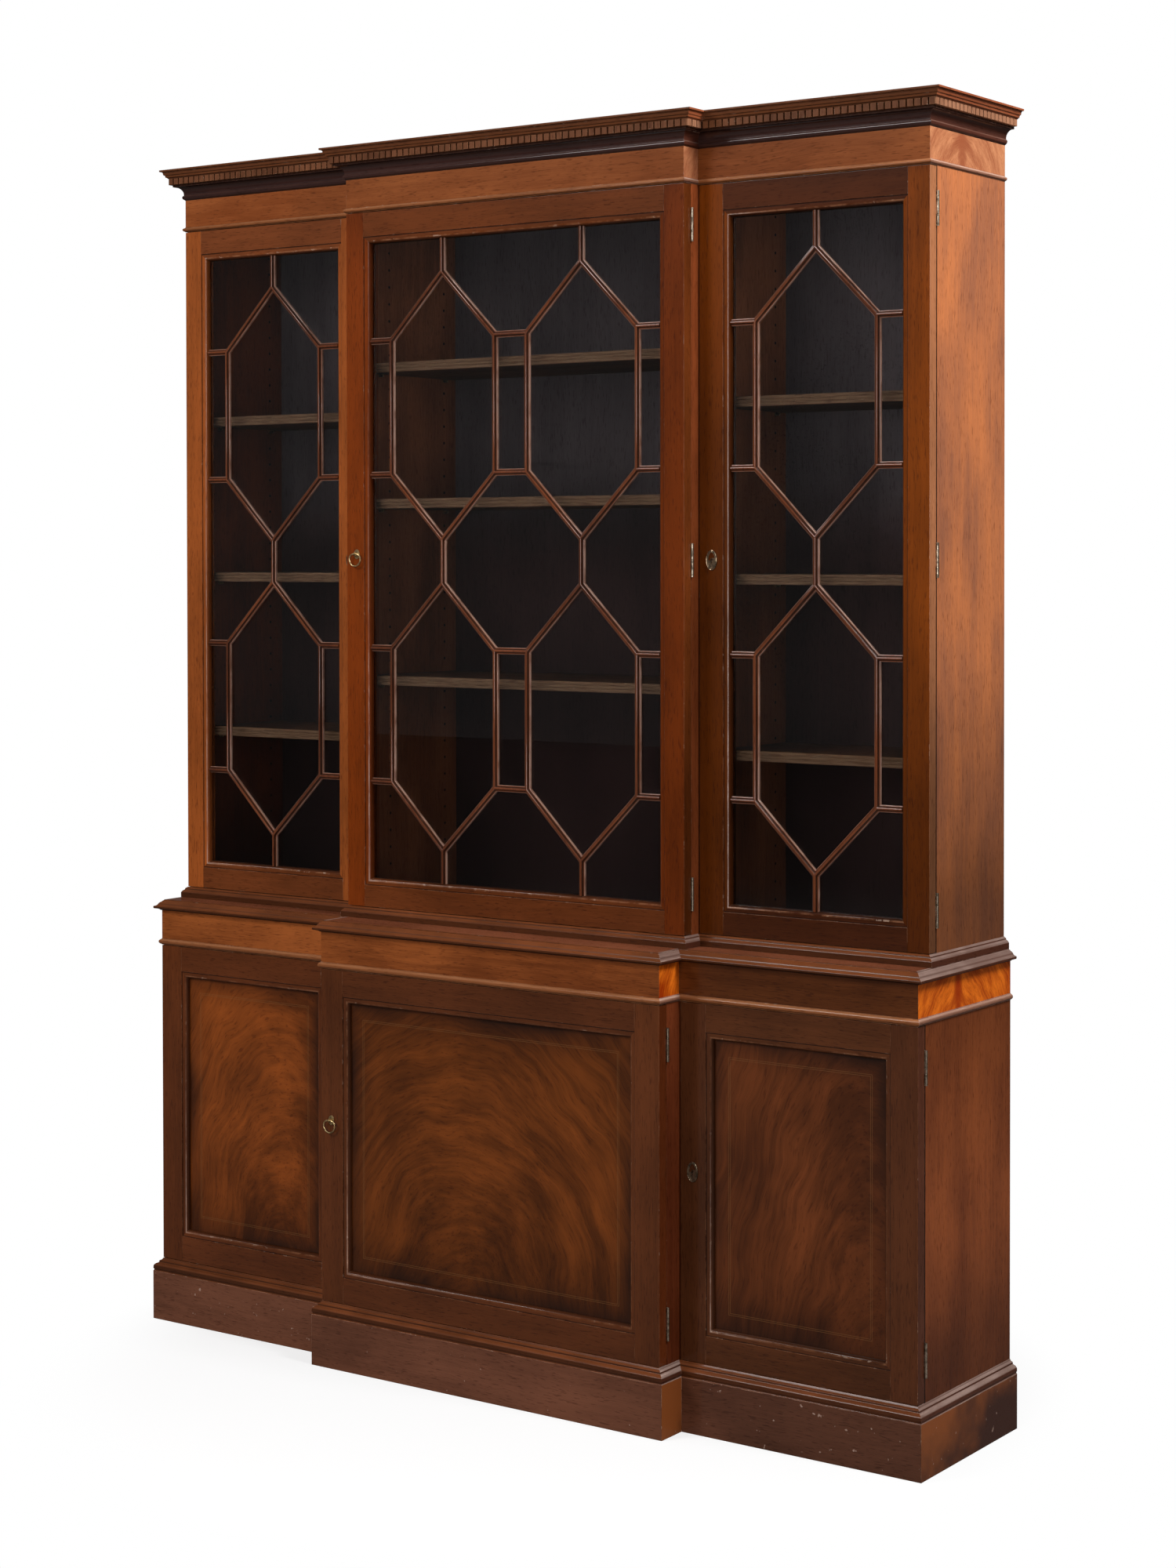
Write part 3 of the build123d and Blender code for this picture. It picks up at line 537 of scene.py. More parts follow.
@dataclass(frozen=True)
class WoodFinish(Finish):
    """Polished mahogany."""

    dark: Colour
    light: Colour
    grain: Grain = Grain.ALONG_Z
    contrast: float = 1.0
    seed: float = 0.0
    coat: float = 0.35
    gloss: float = 0.13
    dull: float = 0.0
    wear: float = 0.4
    # The pale of arris wear, and in mouldings and glazing bars also the colour of painted highlights
    worn_and_highlight: Colour = tint(0.36, 0.16, 0.08)
    bare: Colour = tint(0.52, 0.38, 0.29)
    ease: float = 0.8 * MM
    relief: float = 0.1 * MM
    # Painted shade and light, darker or lighter toward one end of an axis
    painted_shading: PaintedShading = ()
    unevenness: float = 0.3
    sheen: float = 0.04

    def figure(self, graph: Graph, place: Socket) -> bpy.types.Node:
        """The wood's own pattern.

        Args:
            graph: the material's graph.
            place: the point on the object.

        Returns:
            The pattern's group.
        """
        turned = graph.node("ShaderNodeMapping", {"Vector": place, "Rotation": self.grain.value}).outputs[0]
        inputs = {"Vector": turned, "Dark": self.dark, "Light": self.light}
        return graph.group(wood_group(), inputs | {"Contrast": self.contrast, "Seed": self.seed})

    def overlay(self, graph: Graph, place: Socket, colour: Socket) -> Socket:
        """What lies over the wood's own colour.

        Args:
            graph: the material's graph.
            place: the point on the object.
            colour: the wood's colour.

        Returns:
            The colour with what lies over it.
        """
        return colour

    def surface(self, graph: Graph) -> Socket:
        """Wood under a thin polish, rubbed pale on its arrises.

        Args:
            graph: the material's graph.

        Returns:
            The shader.
        """
        place = graph.place()
        wood = self.figure(graph, place)
        edges = graph.group(wear_group(), {"Radius": self.ease, "Amount": self.wear})
        colour = wood.outputs["Color"]
        # Painted shade and light along each axis
        for axis, start, end, last in self.painted_shading:
            inputs = {"Vector": place, "Axis": axis, "From": start, "To": end, "Last": last}
            colour = graph.blend(1.0, colour, graph.group(painted_shading_group(), inputs).outputs["Share"], "MULTIPLY")
        colour = self.overlay(graph, place, colour)
        for mask, pale in (("Mask", self.worn_and_highlight), ("Chips", self.bare)):
            colour = graph.blend(edges.outputs[mask], colour, pale)
        bump = {"Strength": self.unevenness, "Distance": self.relief, "Height": wood.outputs["Height"]}
        normal = graph.node("ShaderNodeBump", bump | {"Normal": edges.outputs["Normal"]}).outputs[0]
        rough = graph.math("ADD", wood.outputs["Roughness"], self.dull)
        inputs = {"Base Color": colour, "Roughness": rough, "Normal": normal}
        inputs |= {"Coat Weight": self.coat, "Coat Roughness": self.gloss, "Specular IOR Level": self.sheen}
        return graph.node("ShaderNodeBsdfPrincipled", inputs).outputs[0]


@dataclass(frozen=True)
class FrameFinish(WoodFinish):
    """A door frame: painted shade in its quirk and down its ovolo, and a painted highlight along the ovolo's
    arris.
    """

    quirk: float = 2.4 * MM
    arris: float = 7.4 * MM
    slope: float = 5 * MM
    painted_highlight: float = 0.8
    lit: Colour = tint(0.40, 0.28, 0.23)
    painted_shade: Colour = tint(0.010, 0.003, 0.002)

    def overlay(self, graph: Graph, place: Socket, colour: Socket) -> Socket:
        """Painted shade and a painted highlight that follow the sticking.

        Args:
            graph: the material's graph.
            place: the point on the object.
            colour: the wood's colour.

        Returns:
            The colour with what lies over it.
        """
        across, along = graph.kept("across"), graph.kept("along")
        # Painted shade in the quirk
        quirk = graph.window(across, 0.25 * self.quirk, self.quirk, 0.85, 0.0)
        quirk = graph.times(quirk, graph.math("GREATER_THAN", along, 1.0 * MM))
        colour = graph.blend(quirk, colour, self.painted_shade)
        # Painted shade down the ovolo toward the opening
        inner = graph.window(across, self.arris, self.arris + self.slope, 0.0, 0.55)
        colour = graph.blend(inner, colour, PAINTED_SHADE_TONE)
        # A painted highlight along the arris, in patches, on faces turned up and to the right
        lit = graph.vector("DOT_PRODUCT", graph.facing("Normal"), (0.7, 0.0, 0.7))
        patchy = graph.window(graph.noise(place, 24.0, 3.0), 0.36, 0.62, 0.3 * self.painted_highlight, self.painted_highlight)
        line = graph.window(graph.gap(across, self.arris), 1.0 * MM, 1.8 * MM, 1.0, 0.0)
        line = graph.times(graph.times(line, patchy), graph.window(lit, 0.12, 0.35))
        return graph.blend(line, colour, self.lit)


@dataclass(frozen=True)
class MouldingFinish(WoodFinish):
    """A moulding whose upward faces get a painted highlight and whose undersides get painted shade."""

    top_highlight: float = 0.4

    def overlay(self, graph: Graph, place: Socket, colour: Socket) -> Socket:
        """A painted highlight on faces that look up, painted shade on faces that look down.

        Args:
            graph: the material's graph.
            place: the point on the object.
            colour: the wood's colour.

        Returns:
            The colour with what lies over it.
        """
        up = graph.split(graph.facing("Normal"))[2]
        # A painted highlight on faces that look up, in patches
        cloud = graph.window(graph.drawn(place, (5.0, 5.0, 9.0), 3.0, 0.6), 0.36, 0.62, 0.45, 1.0)
        light = graph.times(graph.window(up, 0.25, 0.75, 0.0, self.top_highlight), cloud)
        colour = graph.blend(light, colour, self.worn_and_highlight)
        # Painted shade on faces that look down
        return graph.blend(graph.window(up, -0.95, -0.55, 0.7, 0.0), colour, PAINTED_SHADE_TONE)


@dataclass(frozen=True)
class BarFinish(WoodFinish):
    """Glazing bars: painted shade in the quirks beside the bead, and a painted highlight along the outer
    arrises.
    """

    quirk: float = 3.0 * MM
    rim: float = 5.0 * MM

    def overlay(self, graph: Graph, place: Socket, colour: Socket) -> Socket:
        """Painted shade and a painted highlight that follow the bar.

        Args:
            graph: the material's graph.
            place: the point on the object.
            colour: the wood's colour.

        Returns:
            The colour with what lies over it.
        """
        across = graph.math("ABSOLUTE", graph.kept("across"))
        # Painted shade in the quirks beside the bead
        painted_shade_mask = graph.window(graph.gap(across, self.quirk), 0.4 * MM, 1.3 * MM, 0.85, 0.0)
        colour = graph.blend(painted_shade_mask, colour, PAINTED_SHADE_TONE)
        # A painted highlight along the outer arrises, in patches
        patchy = graph.window(graph.noise(place, 30.0, 3.0), 0.3, 0.6, 0.35, 0.9)
        rim = graph.window(across, self.rim, self.rim + 0.6 * MM)
        return graph.blend(graph.times(rim, patchy), colour, self.worn_and_highlight)


@dataclass(frozen=True)
class FlameFinish(WoodFinish):
    """Figured veneer whose feathers arch over a focus."""

    focus: Triple = (0.0, 0.0, 0.0)
    arch: float = 0.6
    lean: float = 0.0

    def figure(self, graph: Graph, place: Socket) -> bpy.types.Node:
        """The flame."""
        inputs = {"Vector": place, "Dark": self.dark, "Light": self.light, "Focus": self.focus}
        return graph.group(flame_group(), inputs | {"Arch": self.arch, "Lean": self.lean, "Seed": self.seed})


@dataclass(frozen=True)
class PanelFinish(FlameFinish):
    """A figured panel with two string lines and painted shade round its border."""

    centre: Triple = (0.0, 0.0, 0.0)
    half: Triple = (0.1, 0.1, 0.1)
    inset: float = 27 * MM
    gap: float = 3 * MM
    line: float = 0.7 * MM
    reach: float = 80 * MM
    string: Colour = tint(0.20, 0.09, 0.03)
    faintness: float = 0.45

    def overlay(self, graph: Graph, place: Socket, colour: Socket) -> Socket:
        """The border's shade, then the string lines.

        Args:
            graph: the material's graph.
            place: the point on the object.
            colour: the wood's colour.

        Returns:
            The colour with what lies over it.
        """
        inputs = {"Vector": place, "Centre": self.centre, "Half": self.half, "Inset": self.inset}
        inputs |= {"Gap": self.gap, "Line": self.line, "Reach": self.reach}
        border = graph.group(border_group(), inputs).outputs
        # Painted shade round the border
        colour = graph.blend(border["Shade"], colour, PAINTED_SHADE_TONE)
        return graph.blend(graph.times(border["Line"], self.faintness), colour, self.string)


@dataclass(frozen=True)
class SideFinish(WoodFinish):
    """An upright side: another tone on its faces inside, columns of peg holes painted as dark dots of shade,
    and painted shade in the gap beside the doors.
    """

    front: float = 0.0
    back: float = 0.0
    outer: float = 1.0
    inner_tone: Colour = WHITE
    within: float = -1.0
    joint: float = -1.0
    pitch: float = 32 * MM
    radius: float = 2.6 * MM
    gap_painted_shade: Colour = tint(0.008, 0.003, 0.002)
    hole_painted_shade: Colour = tint(0.004, 0.002, 0.001)

    def overlay(self, graph: Graph, place: Socket, colour: Socket) -> Socket:
        """The inside's own tone, painted shade in the gap beside the door, and the holes as dark dots of
        painted shade.

        Args:
            graph: the material's graph.
            place: the point on the object.
            colour: the wood's colour.

        Returns:
            The colour with what lies over it.
        """
        inputs = {"Vector": place, "Pitch": self.pitch, "Front": self.front, "Back": self.back}
        holes = graph.group(peg_hole_group(), inputs | {"Radius": self.radius}).outputs["Mask"]
        x, y, _ = graph.split(place)
        inside = graph.math("LESS_THAN", graph.math("ABSOLUTE", x), self.outer)
        inside = graph.times(inside, graph.math("GREATER_THAN", y, self.within))
        colour = graph.blend(inside, colour, graph.blend(1.0, colour, self.inner_tone, "MULTIPLY"))
        # Painted shade in the gap between the side and the door
        painted_shade_mask = graph.window(graph.math("SUBTRACT", y, self.joint), 1.6 * MM, 3.0 * MM, 0.96, 0.0)
        colour = graph.blend(painted_shade_mask, colour, self.gap_painted_shade)
        # The peg holes as dark dots: their shade is painted
        return graph.blend(graph.times(holes, inside), colour, self.hole_painted_shade)


@dataclass(frozen=True)
class LiningFinish(WoodFinish):
    """A back that is dark inside and plain brown wood behind."""

    behind: Colour = tint(0.13, 0.068, 0.038)
    behind_light: Colour = tint(0.19, 0.105, 0.06)
    stain: Colour = tint(1.05, 0.68, 0.6)
    redder: float = 1.55

    def overlay(self, graph: Graph, place: Socket, colour: Socket) -> Socket:
        """The redder lower part, then the brown of the faces that look back.

        Args:
            graph: the material's graph.
            place: the point on the object.
            colour: the wood's colour.

        Returns:
            The colour with what lies over it.
        """
        low = graph.window(graph.split(place)[2], self.redder - 0.1, self.redder + 0.1, 1.0, 0.0)
        colour = graph.blend(low, colour, graph.blend(1.0, colour, self.stain, "MULTIPLY"))
        streak = graph.window(graph.drawn(place, (60.0, 60.0, 1.6), 3.0), 0.35, 0.65)
        raw = graph.blend(streak, self.behind, self.behind_light)
        return graph.blend(graph.math("GREATER_THAN", graph.split(graph.facing())[1], 0.5), colour, raw)


@dataclass(frozen=True)
class ShelfFinish(WoodFinish):
    """A shelf whose reeded front edge is rubbed pale."""

    edge: Colour = tint(0.17, 0.095, 0.055)

    def overlay(self, graph: Graph, place: Socket, colour: Socket) -> Socket:
        """The pale front edge.

        Args:
            graph: the material's graph.
            place: the point on the object.
            colour: the wood's colour.

        Returns:
            The colour with what lies over it.
        """
        front = graph.window(graph.split(graph.facing())[1], -0.6, -0.3, 1.0, 0.0)
        streak = graph.window(graph.drawn(place, (30.0, 30.0, 500.0), 3.0), 0.2, 0.6)
        return graph.blend(graph.times(front, streak), colour, self.edge)


@dataclass(frozen=True)
class EndedFinish(WoodFinish):
    """Boards round the stepped front whose ends have a colour of their own."""

    end_dark: Colour = tint(0.055, 0.020, 0.013)
    end_light: Colour = tint(0.26, 0.074, 0.019)

    def end(self, graph: Graph, place: Socket) -> Socket:
        """The ends' colour.

        Args:
            graph: the material's graph.
            place: the point on the object.

        Returns:
            The ends' colour.
        """
        raise NotImplementedError

    def overlay(self, graph: Graph, place: Socket, colour: Socket) -> Socket:
        """The ends' colour, on the faces that look left or right.

        Args:
            graph: the material's graph.
            place: the point on the object.
            colour: the wood's colour.

        Returns:
            The colour with what lies over it.
        """
        sideways = graph.math("ABSOLUTE", graph.split(graph.facing())[0])
        return graph.blend(graph.math("GREATER_THAN", sideways, 0.5), colour, self.end(graph, place))


@dataclass(frozen=True)
class FriezeFinish(EndedFinish):
    """Frieze boards, with brighter figured veneer on their ends."""

    seam: float = 0.0
    heart: float = 0.0
    closeness: float = 1.6

    def end(self, graph: Graph, place: Socket) -> Socket:
        """A flame in two leaves that mirror each other at a seam.

        Args:
            graph: the material's graph.
            place: the point on the object.

        Returns:
            The ends' colour.
        """
        x, y, z = graph.split(place)
        fold = graph.gap(y, self.seam)
        folded = graph.vector("MULTIPLY", graph.join(fold, x, z), (self.closeness,) * 3)
        inputs = {"Vector": folded, "Dark": self.end_dark, "Light": self.end_light, "Arch": 1.3, "Lean": 0.08}
        inputs |= {"Seed": self.seed, "Focus": (-0.02, 0.0, self.heart * self.closeness - 0.06)}
        leaf = graph.group(flame_group(), inputs).outputs["Color"]
        return graph.blend(graph.window(fold, 3 * MM, 18 * MM, 0.8, 0.0), leaf, self.end_dark)


@dataclass(frozen=True)
class PlinthFinish(EndedFinish):
    """Scuffed plinth boards, whose ends are cloudy with old polish."""

    scuff: Colour = tint(0.42, 0.28, 0.22)

    def end(self, graph: Graph, place: Socket) -> Socket:
        """Clouds that lean back as they rise.

        Args:
            graph: the material's graph.
            place: the point on the object.

        Returns:
            The ends' colour.
        """
        _, y, z = graph.split(place)
        slope = graph.math("MULTIPLY_ADD", z, 1.6, graph.times(y, -1.1))
        cloud = graph.math("MULTIPLY_ADD", graph.noise(place, 9.0, 3.0, 0.55), 0.8, slope)
        return graph.blend(graph.window(cloud, 0.26, 0.62), self.end_dark, self.end_light)

    def overlay(self, graph: Graph, place: Socket, colour: Socket) -> Socket:
        """The clouds, then the scuffs.

        Args:
            graph: the material's graph.
            place: the point on the object.
            colour: the wood's colour.

        Returns:
            The colour with what lies over it.
        """
        colour = super().overlay(graph, place, colour)
        scuffs = graph.window(graph.noise(place, 75.0, 2.0, 0.6), 0.69, 0.74, 0.0, 0.6)
        return graph.blend(scuffs, colour, self.scuff)


@dataclass(frozen=True)
class BrassFinish(Finish):
    """Old brass, brown where it isn't handled."""

    bright: Colour = tint(0.50, 0.34, 0.15)
    dull: Colour = tint(0.085, 0.055, 0.035)
    tarnish: float = 0.9
    rough: float = 0.28
    rougher: float = 0.25
    unevenness: float = 0.2
    relief: float = 0.05 * MM

    def surface(self, graph: Graph) -> Socket:
        """Brass with tarnish.

        Args:
            graph: the material's graph.

        Returns:
            The shader.
        """
        inputs = {"Bright": self.bright, "Dull": self.dull, "Amount": self.tarnish}
        brass = graph.group(tarnish_group(), inputs).outputs
        grain = graph.noise(graph.place(), 1200.0)
        bump = {"Strength": self.unevenness, "Distance": self.relief, "Height": grain}
        normal = graph.node("ShaderNodeBump", bump).outputs[0]
        rough = graph.math("ADD", graph.times(brass["Mask"], self.rougher), self.rough)
        inputs = {"Base Color": brass["Color"], "Roughness": rough, "Normal": normal, "Metallic": 1.0}
        return graph.node("ShaderNodeBsdfPrincipled", inputs).outputs[0]


@dataclass(frozen=True)
class GlassFinish(Finish):
    """Old window glass: clear and slightly wavy, with dark specks."""

    tone: Colour = tint(0.86, 0.88, 0.88)
    speck: Colour = tint(0.10, 0.07, 0.055)
    specks: float = 0.4
    waviness: float = 0.04
    wave: float = 2 * MM
    bend: float = 1.45
    sheen: float = 0.1

    def surface(self, graph: Graph) -> Socket:
        """Clear glass.

        Args:
            graph: the material's graph.

        Returns:
            The shader.
        """
        place = graph.place()
        waves = graph.drawn(place, (3.0, 3.0, 1.4), 1.0)
        bump = {"Strength": self.waviness, "Distance": self.wave, "Height": waves}
        normal = graph.node("ShaderNodeBump", bump).outputs[0]
        patch = graph.window(graph.noise(place, 4.0), 0.50, 0.68)
        dots = graph.window(graph.noise(place, 210.0, 2.0, 0.6), 0.60, 0.68)
        colour = graph.blend(graph.times(graph.times(dots, patch), self.specks), self.tone, self.speck)
        inputs = {"Base Color": colour, "Roughness": 0.0, "Normal": normal, "IOR": self.bend}
        inputs |= {"Transmission Weight": 1.0, "Specular IOR Level": self.sheen}
        return graph.node("ShaderNodeBsdfPrincipled", inputs).outputs[0]


def seen_direct(graph: Graph, path: bpy.types.Node) -> Socket:
    """One where the camera looks straight at a place or through a pane at it, and otherwise nothing.

    Args:
        graph: the graph that gets the nodes.
        path: its Light Path node.

    Returns:
        The share.
    """
    straight = graph.math("LESS_THAN", path.outputs["Glossy Depth"], 0.5)
    through = graph.times(path.outputs["Is Transmission Ray"], straight)
    return graph.math("MAXIMUM", path.outputs["Is Camera Ray"], through)


@dataclass(frozen=True)
class FloorFinish(Finish):
    """A white floor that keeps the object's shadow."""

    glow: float = 0.66
    near: float = 0.66
    far: float = 0.98
    shown: Colour = tint(0.95, 0.95, 0.95)
    bounced: Colour = tint(0.24, 0.22, 0.21)

    def surface(self, graph: Graph) -> Socket:
        """White paint near the object, and pure white for the camera farther off.

        Args:
            graph: the material's graph.

        Returns:
            The shader.
        """
        path = graph.node("ShaderNodeLightPath")
        direct = seen_direct(graph, path)
        pale = graph.blend(direct, self.bounced, self.shown)
        inputs = {"Base Color": pale, "Roughness": 0.9, "Specular IOR Level": 0.1}
        paint = graph.node("ShaderNodeBsdfPrincipled", inputs).outputs[0]
        light = graph.node("ShaderNodeEmission", {"Color": WHITE, "Strength": 1.0}).outputs[0]
        away = graph.window(graph.vector("LENGTH", graph.place()), self.near, self.far, self.glow, 1.0)
        inputs = {0: graph.times(direct, away), 1: paint, 2: light}
        return graph.node("ShaderNodeMixShader", inputs).outputs[0]


# Making pieces


def make_piece(
    bm: bmesh.types.BMesh,
    name: str,
    body: str,
    finishes: Sequence[Finish],
    replaced: Sequence[str] = (),
) -> bpy.types.Object:
    """Turn a bmesh into a finished piece of the object.

    Args:
        bm: the shape, which is freed.
        name: the piece's name.
        body: the CAD body that it moves with.
        finishes: one for each material number of its faces.
        replaced: the CAD nodes that it stands for.

    Returns:
        The piece.
    """
    bmesh.ops.recalc_face_normals(bm, faces=bm.faces)
    mesh = bpy.data.meshes.new(name)
    bm.to_mesh(mesh)
    bm.free()
    mesh.shade_smooth()
    mesh.set_sharp_from_angle(angle=SMOOTH_BELOW)
    for finish in finishes:
        mesh.materials.append(finish.material())
    piece = bpy.data.objects.new(name, mesh)
    bpy.context.scene.collection.objects.link(piece)
    flats = piece.modifiers.new("flat faces", "WEIGHTED_NORMAL")
    flats.keep_sharp = True
    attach(piece, body)
    if replaced:
        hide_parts(*replaced)
    log.info("%s: %d faces on %s", name, len(mesh.polygons), body)
    return piece


def unique(items: Iterable) -> list:
    """The items once each, in their first order."""
    return list(dict.fromkeys(items))


def extrude_loop(
    bm: bmesh.types.BMesh, edges: Sequence[bmesh.types.BMEdge]
) -> tuple[list[bmesh.types.BMVert], list[bmesh.types.BMEdge]]:
    """Draw a wall out of a loop of edges.

    Args:
        bm: the shape.
        edges: the loop.

    Returns:
        The corners and the edges of the wall's far side, which still lie where the loop is.
    """
    grown = bmesh.ops.extrude_edge_only(bm, edges=edges)["geom"]
    verts = [item for item in grown if isinstance(item, bmesh.types.BMVert)]
    new = [item for item in grown if isinstance(item, bmesh.types.BMEdge)]
    return verts, [edge for edge in new if set(edge.verts) <= set(verts)]


def add_board(
    bm: bmesh.types.BMesh,
    low: Sequence[float],
    high: Sequence[float],
    ease: float,
    index: int = 0,
    segments: int = 2,
) -> None:
    """Add a board between two corners, its edges eased.

    Args:
        bm: the shape that it joins.
        low: its lowest corner.
        high: its highest corner.
        ease: how far each arris is rounded.
        index: the number of its finish.
        segments: the steps of that rounding.
    """
    first, last = Vector(low), Vector(high)
    box = Matrix.Translation((first + last) / 2) @ Matrix.Diagonal((*(last - first), 1))
    verts = bmesh.ops.create_cube(bm, size=1.0, matrix=box)["verts"]
    edges = unique(edge for vert in verts for edge in vert.link_edges)
    for face in unique(face for vert in verts for face in vert.link_faces):
        face.material_index = index
    bmesh.ops.bevel(bm, geom=edges, offset=ease, segments=segments, profile=0.5, affect="EDGES", material=-1)


def arc(start: Point, end: Point, bulge: float, steps: int = 6) -> list[Point]:
    """Points of a round stretch between two points, without its start.

    Args:
        start: where it starts.
        end: where it ends.
        bulge: how far its middle stands to the left of the straight line.
        steps: how many points it gets.

    Returns:
        The points.
    """
    if not bulge:
        return [end]
    (x0, y0), (x1, y1) = start, end
    chord = hypot(x1 - x0, y1 - y0)
    half_turn = 2 * atan2(2 * abs(bulge), chord)
    radius = chord / (2 * sin(half_turn))
    side = 1 if bulge > 0 else -1
    way_x, way_y = (x1 - x0) / chord, (y1 - y0) / chord
    points = []
    for step in range(1, steps + 1):
        turn = half_turn * (2 * step / steps - 1)
        forward = chord / 2 + radius * sin(turn)
        out = side * radius * (cos(turn) - cos(half_turn))
        points.append((x0 + way_x * forward - way_y * out, y0 + way_y * forward + way_x * out))
    return points


def trace(points: Sequence[Triple]) -> list[Point]:
    """An outline from points that each give the bulge of the stretch before it.

    Args:
        points: each point's two places, and the bulge.

    Returns:
        The outline's points.
    """
    line: list[Point] = [points[0][:2]]
    for x, y, bulge in points[1:]:
        line += arc(line[-1], (x, y), bulge)
    return line


@dataclass(frozen=True)
class Route:
    """Corners that a profile is carried round, with a mitre at each."""

    corners: tuple[Point, ...]
    closed: bool = False

    def at(self, station: int, offset: float) -> Point:
        """A corner, moved to the right of the way that the route runs.

        Args:
            station: the corner's number.
            offset: how far it is moved, square to the runs that meet there.

        Returns:
            The moved corner.
        """
        last = len(self.corners) - 1
        here = Vector(self.corners[station])
        ways = []
        if self.closed or station > 0:
            ways.append((here - Vector(self.corners[station - 1])).normalized())
        if self.closed or station < last:
            ways.append((Vector(self.corners[(station + 1) % len(self.corners)]) - here).normalized())
        normals = [Vector((way.y, -way.x)) for way in ways]
        moved = here + (normals[0] + normals[-1]) * (offset / (1 + normals[0].dot(normals[-1])))
        return moved.x, moved.y


# Gives the point in space from a point of the route's plane and the profile's second distance
Lift = Callable[[Point, float], Vector]


def level(z: float) -> Lift:
    """For a route seen from above, whose profile rises from a height."""
    return lambda point, up: Vector((*point, z + up))


def upright(y: float, way: int = 1) -> Lift:
    """For a route seen from the front, whose profile goes back from a depth, or forward where way is -1."""
    return lambda point, out: Vector((point[0], y + way * out, point[1]))


def carry(
    bm: bmesh.types.BMesh,
    profile: Sequence[Point],
    route: Route,
    lift: Lift,
    ease: float = 0.0,
    two_ways: bool = True,
) -> None:
    """Carry a closed profile along a route, mitred at each corner.

    Args:
        bm: the shape that it joins.
        profile: the profile's corners: distance off the route, and height or depth.
        route: the route's corners.
        lift: stands the route in space.
        ease: how far the profile's corners are rounded first.
        two_ways: whether every other run gets material 1.
    """
    ring = [bm.verts.new((*point, 0)) for point in profile]
    edges = [bm.edges.new(pair) for pair in zip(ring, ring[1:] + ring[:1])]
    if ease:
        rounded = bmesh.ops.bevel(
            bm, geom=ring, offset=ease, segments=2, profile=0.5, affect="VERTICES", material=-1,
            clamp_overlap=True,
        )
        kept = [vert for edge in edges if edge.is_valid for vert in edge.verts]
        edges = unique(edge for vert in unique([*kept, *rounded["verts"]]) for edge in vert.link_edges)
    layers = bm.verts.layers.float
    across, along = (layers.get(name) or layers.new(name) for name in ("across", "along"))
    for vert in unique(vert for edge in edges for vert in edge.verts):
        vert[across], vert[along] = vert.co.x, vert.co.y
        vert.co = lift(route.at(0, vert[across]), vert[along])
    start = edges
    for station in range(1, len(route.corners)):
        verts, edges = extrude_loop(bm, edges)
        for vert in verts:
            vert.co = lift(route.at(station, vert[across]), vert[along])
            for face in vert.link_faces:
                face.material_index = station % 2 if two_ways else 0
    if route.closed:
        for face in bmesh.ops.bridge_loops(bm, edges=start + edges)["faces"]:
            face.material_index = len(route.corners) % 2 if two_ways else 0
    else:
        bmesh.ops.edgeloop_fill(bm, edges=start)
        bmesh.ops.edgeloop_fill(bm, edges=edges)


def add_pin(
    bm: bmesh.types.BMesh, foot: Vector, top: Vector, radius: float, ease: float, sides: int = 20
) -> None:
    """A round bar between two points, its ends eased.

    Args:
        bm: the shape that it joins.
        foot: the middle of one end.
        top: the middle of the other end.
        radius: its radius.
        ease: how far the rims are rounded.
        sides: how many sides it has.
    """
    way = top - foot
    turn = way.to_track_quat("Z", "Y").to_matrix().to_4x4()
    place = Matrix.Translation((foot + top) / 2) @ turn
    made = bmesh.ops.create_cone(
        bm, cap_ends=True, segments=sides, radius1=radius, radius2=radius, depth=way.length, matrix=place
    )
    edges = unique(edge for vert in made["verts"] for edge in vert.link_edges)
    rims = [edge for edge in edges if edge.calc_face_angle(0) > RIM_TURN]
    bmesh.ops.bevel(bm, geom=rims, offset=ease, segments=2, profile=0.5, affect="EDGES", material=-1)


def add_oval(
    bm: bmesh.types.BMesh,
    middle: Vector,
    half: Point,
    steps: Sequence[Point],
    sides: int = 40,
    seat: float = 0.4 * MM,
) -> bmesh.types.BMFace:
    """A turned oval that faces forward, built up by steps inward and outward.

    Args:
        bm: the shape that it joins.
        middle: the middle of its back, on the door's face.
        half: half its width and height.
        steps: pairs of how far in and how far forward each step goes.
        sides: how many sides it has.
        seat: how far its back is let into the door.

    Returns:
        The face in the middle of its front.
    """
    place = Matrix.Translation(middle) @ Matrix.Rotation(pi / 2, 4, "X") @ Matrix.Diagonal((*half, 1, 1))
    made = bmesh.ops.create_circle(bm, cap_ends=True, segments=sides, radius=1.0, matrix=place)
    face = made["verts"][0].link_faces[0]
    if face.normal.y > 0:
        bmesh.ops.reverse_faces(bm, faces=[face])
    for vert in extrude_loop(bm, list(face.edges))[0]:
        vert.co.y += seat
    for inward, forward in steps:
        bmesh.ops.inset_region(bm, faces=[face], thickness=inward, depth=forward, use_even_offset=True)
    return face


def dress(finish: Finish, *nodes: str) -> None:
    """Give CAD nodes a finish and report them.

    Args:
        finish: the finish.
        nodes: the nodes' names.
    """
    for name in nodes:
        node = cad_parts[name]
        node.data.materials.clear()
        node.data.materials.append(finish.material())
        log.info("%s: %s", name, finish.name)


# Sizes read from the CAD model


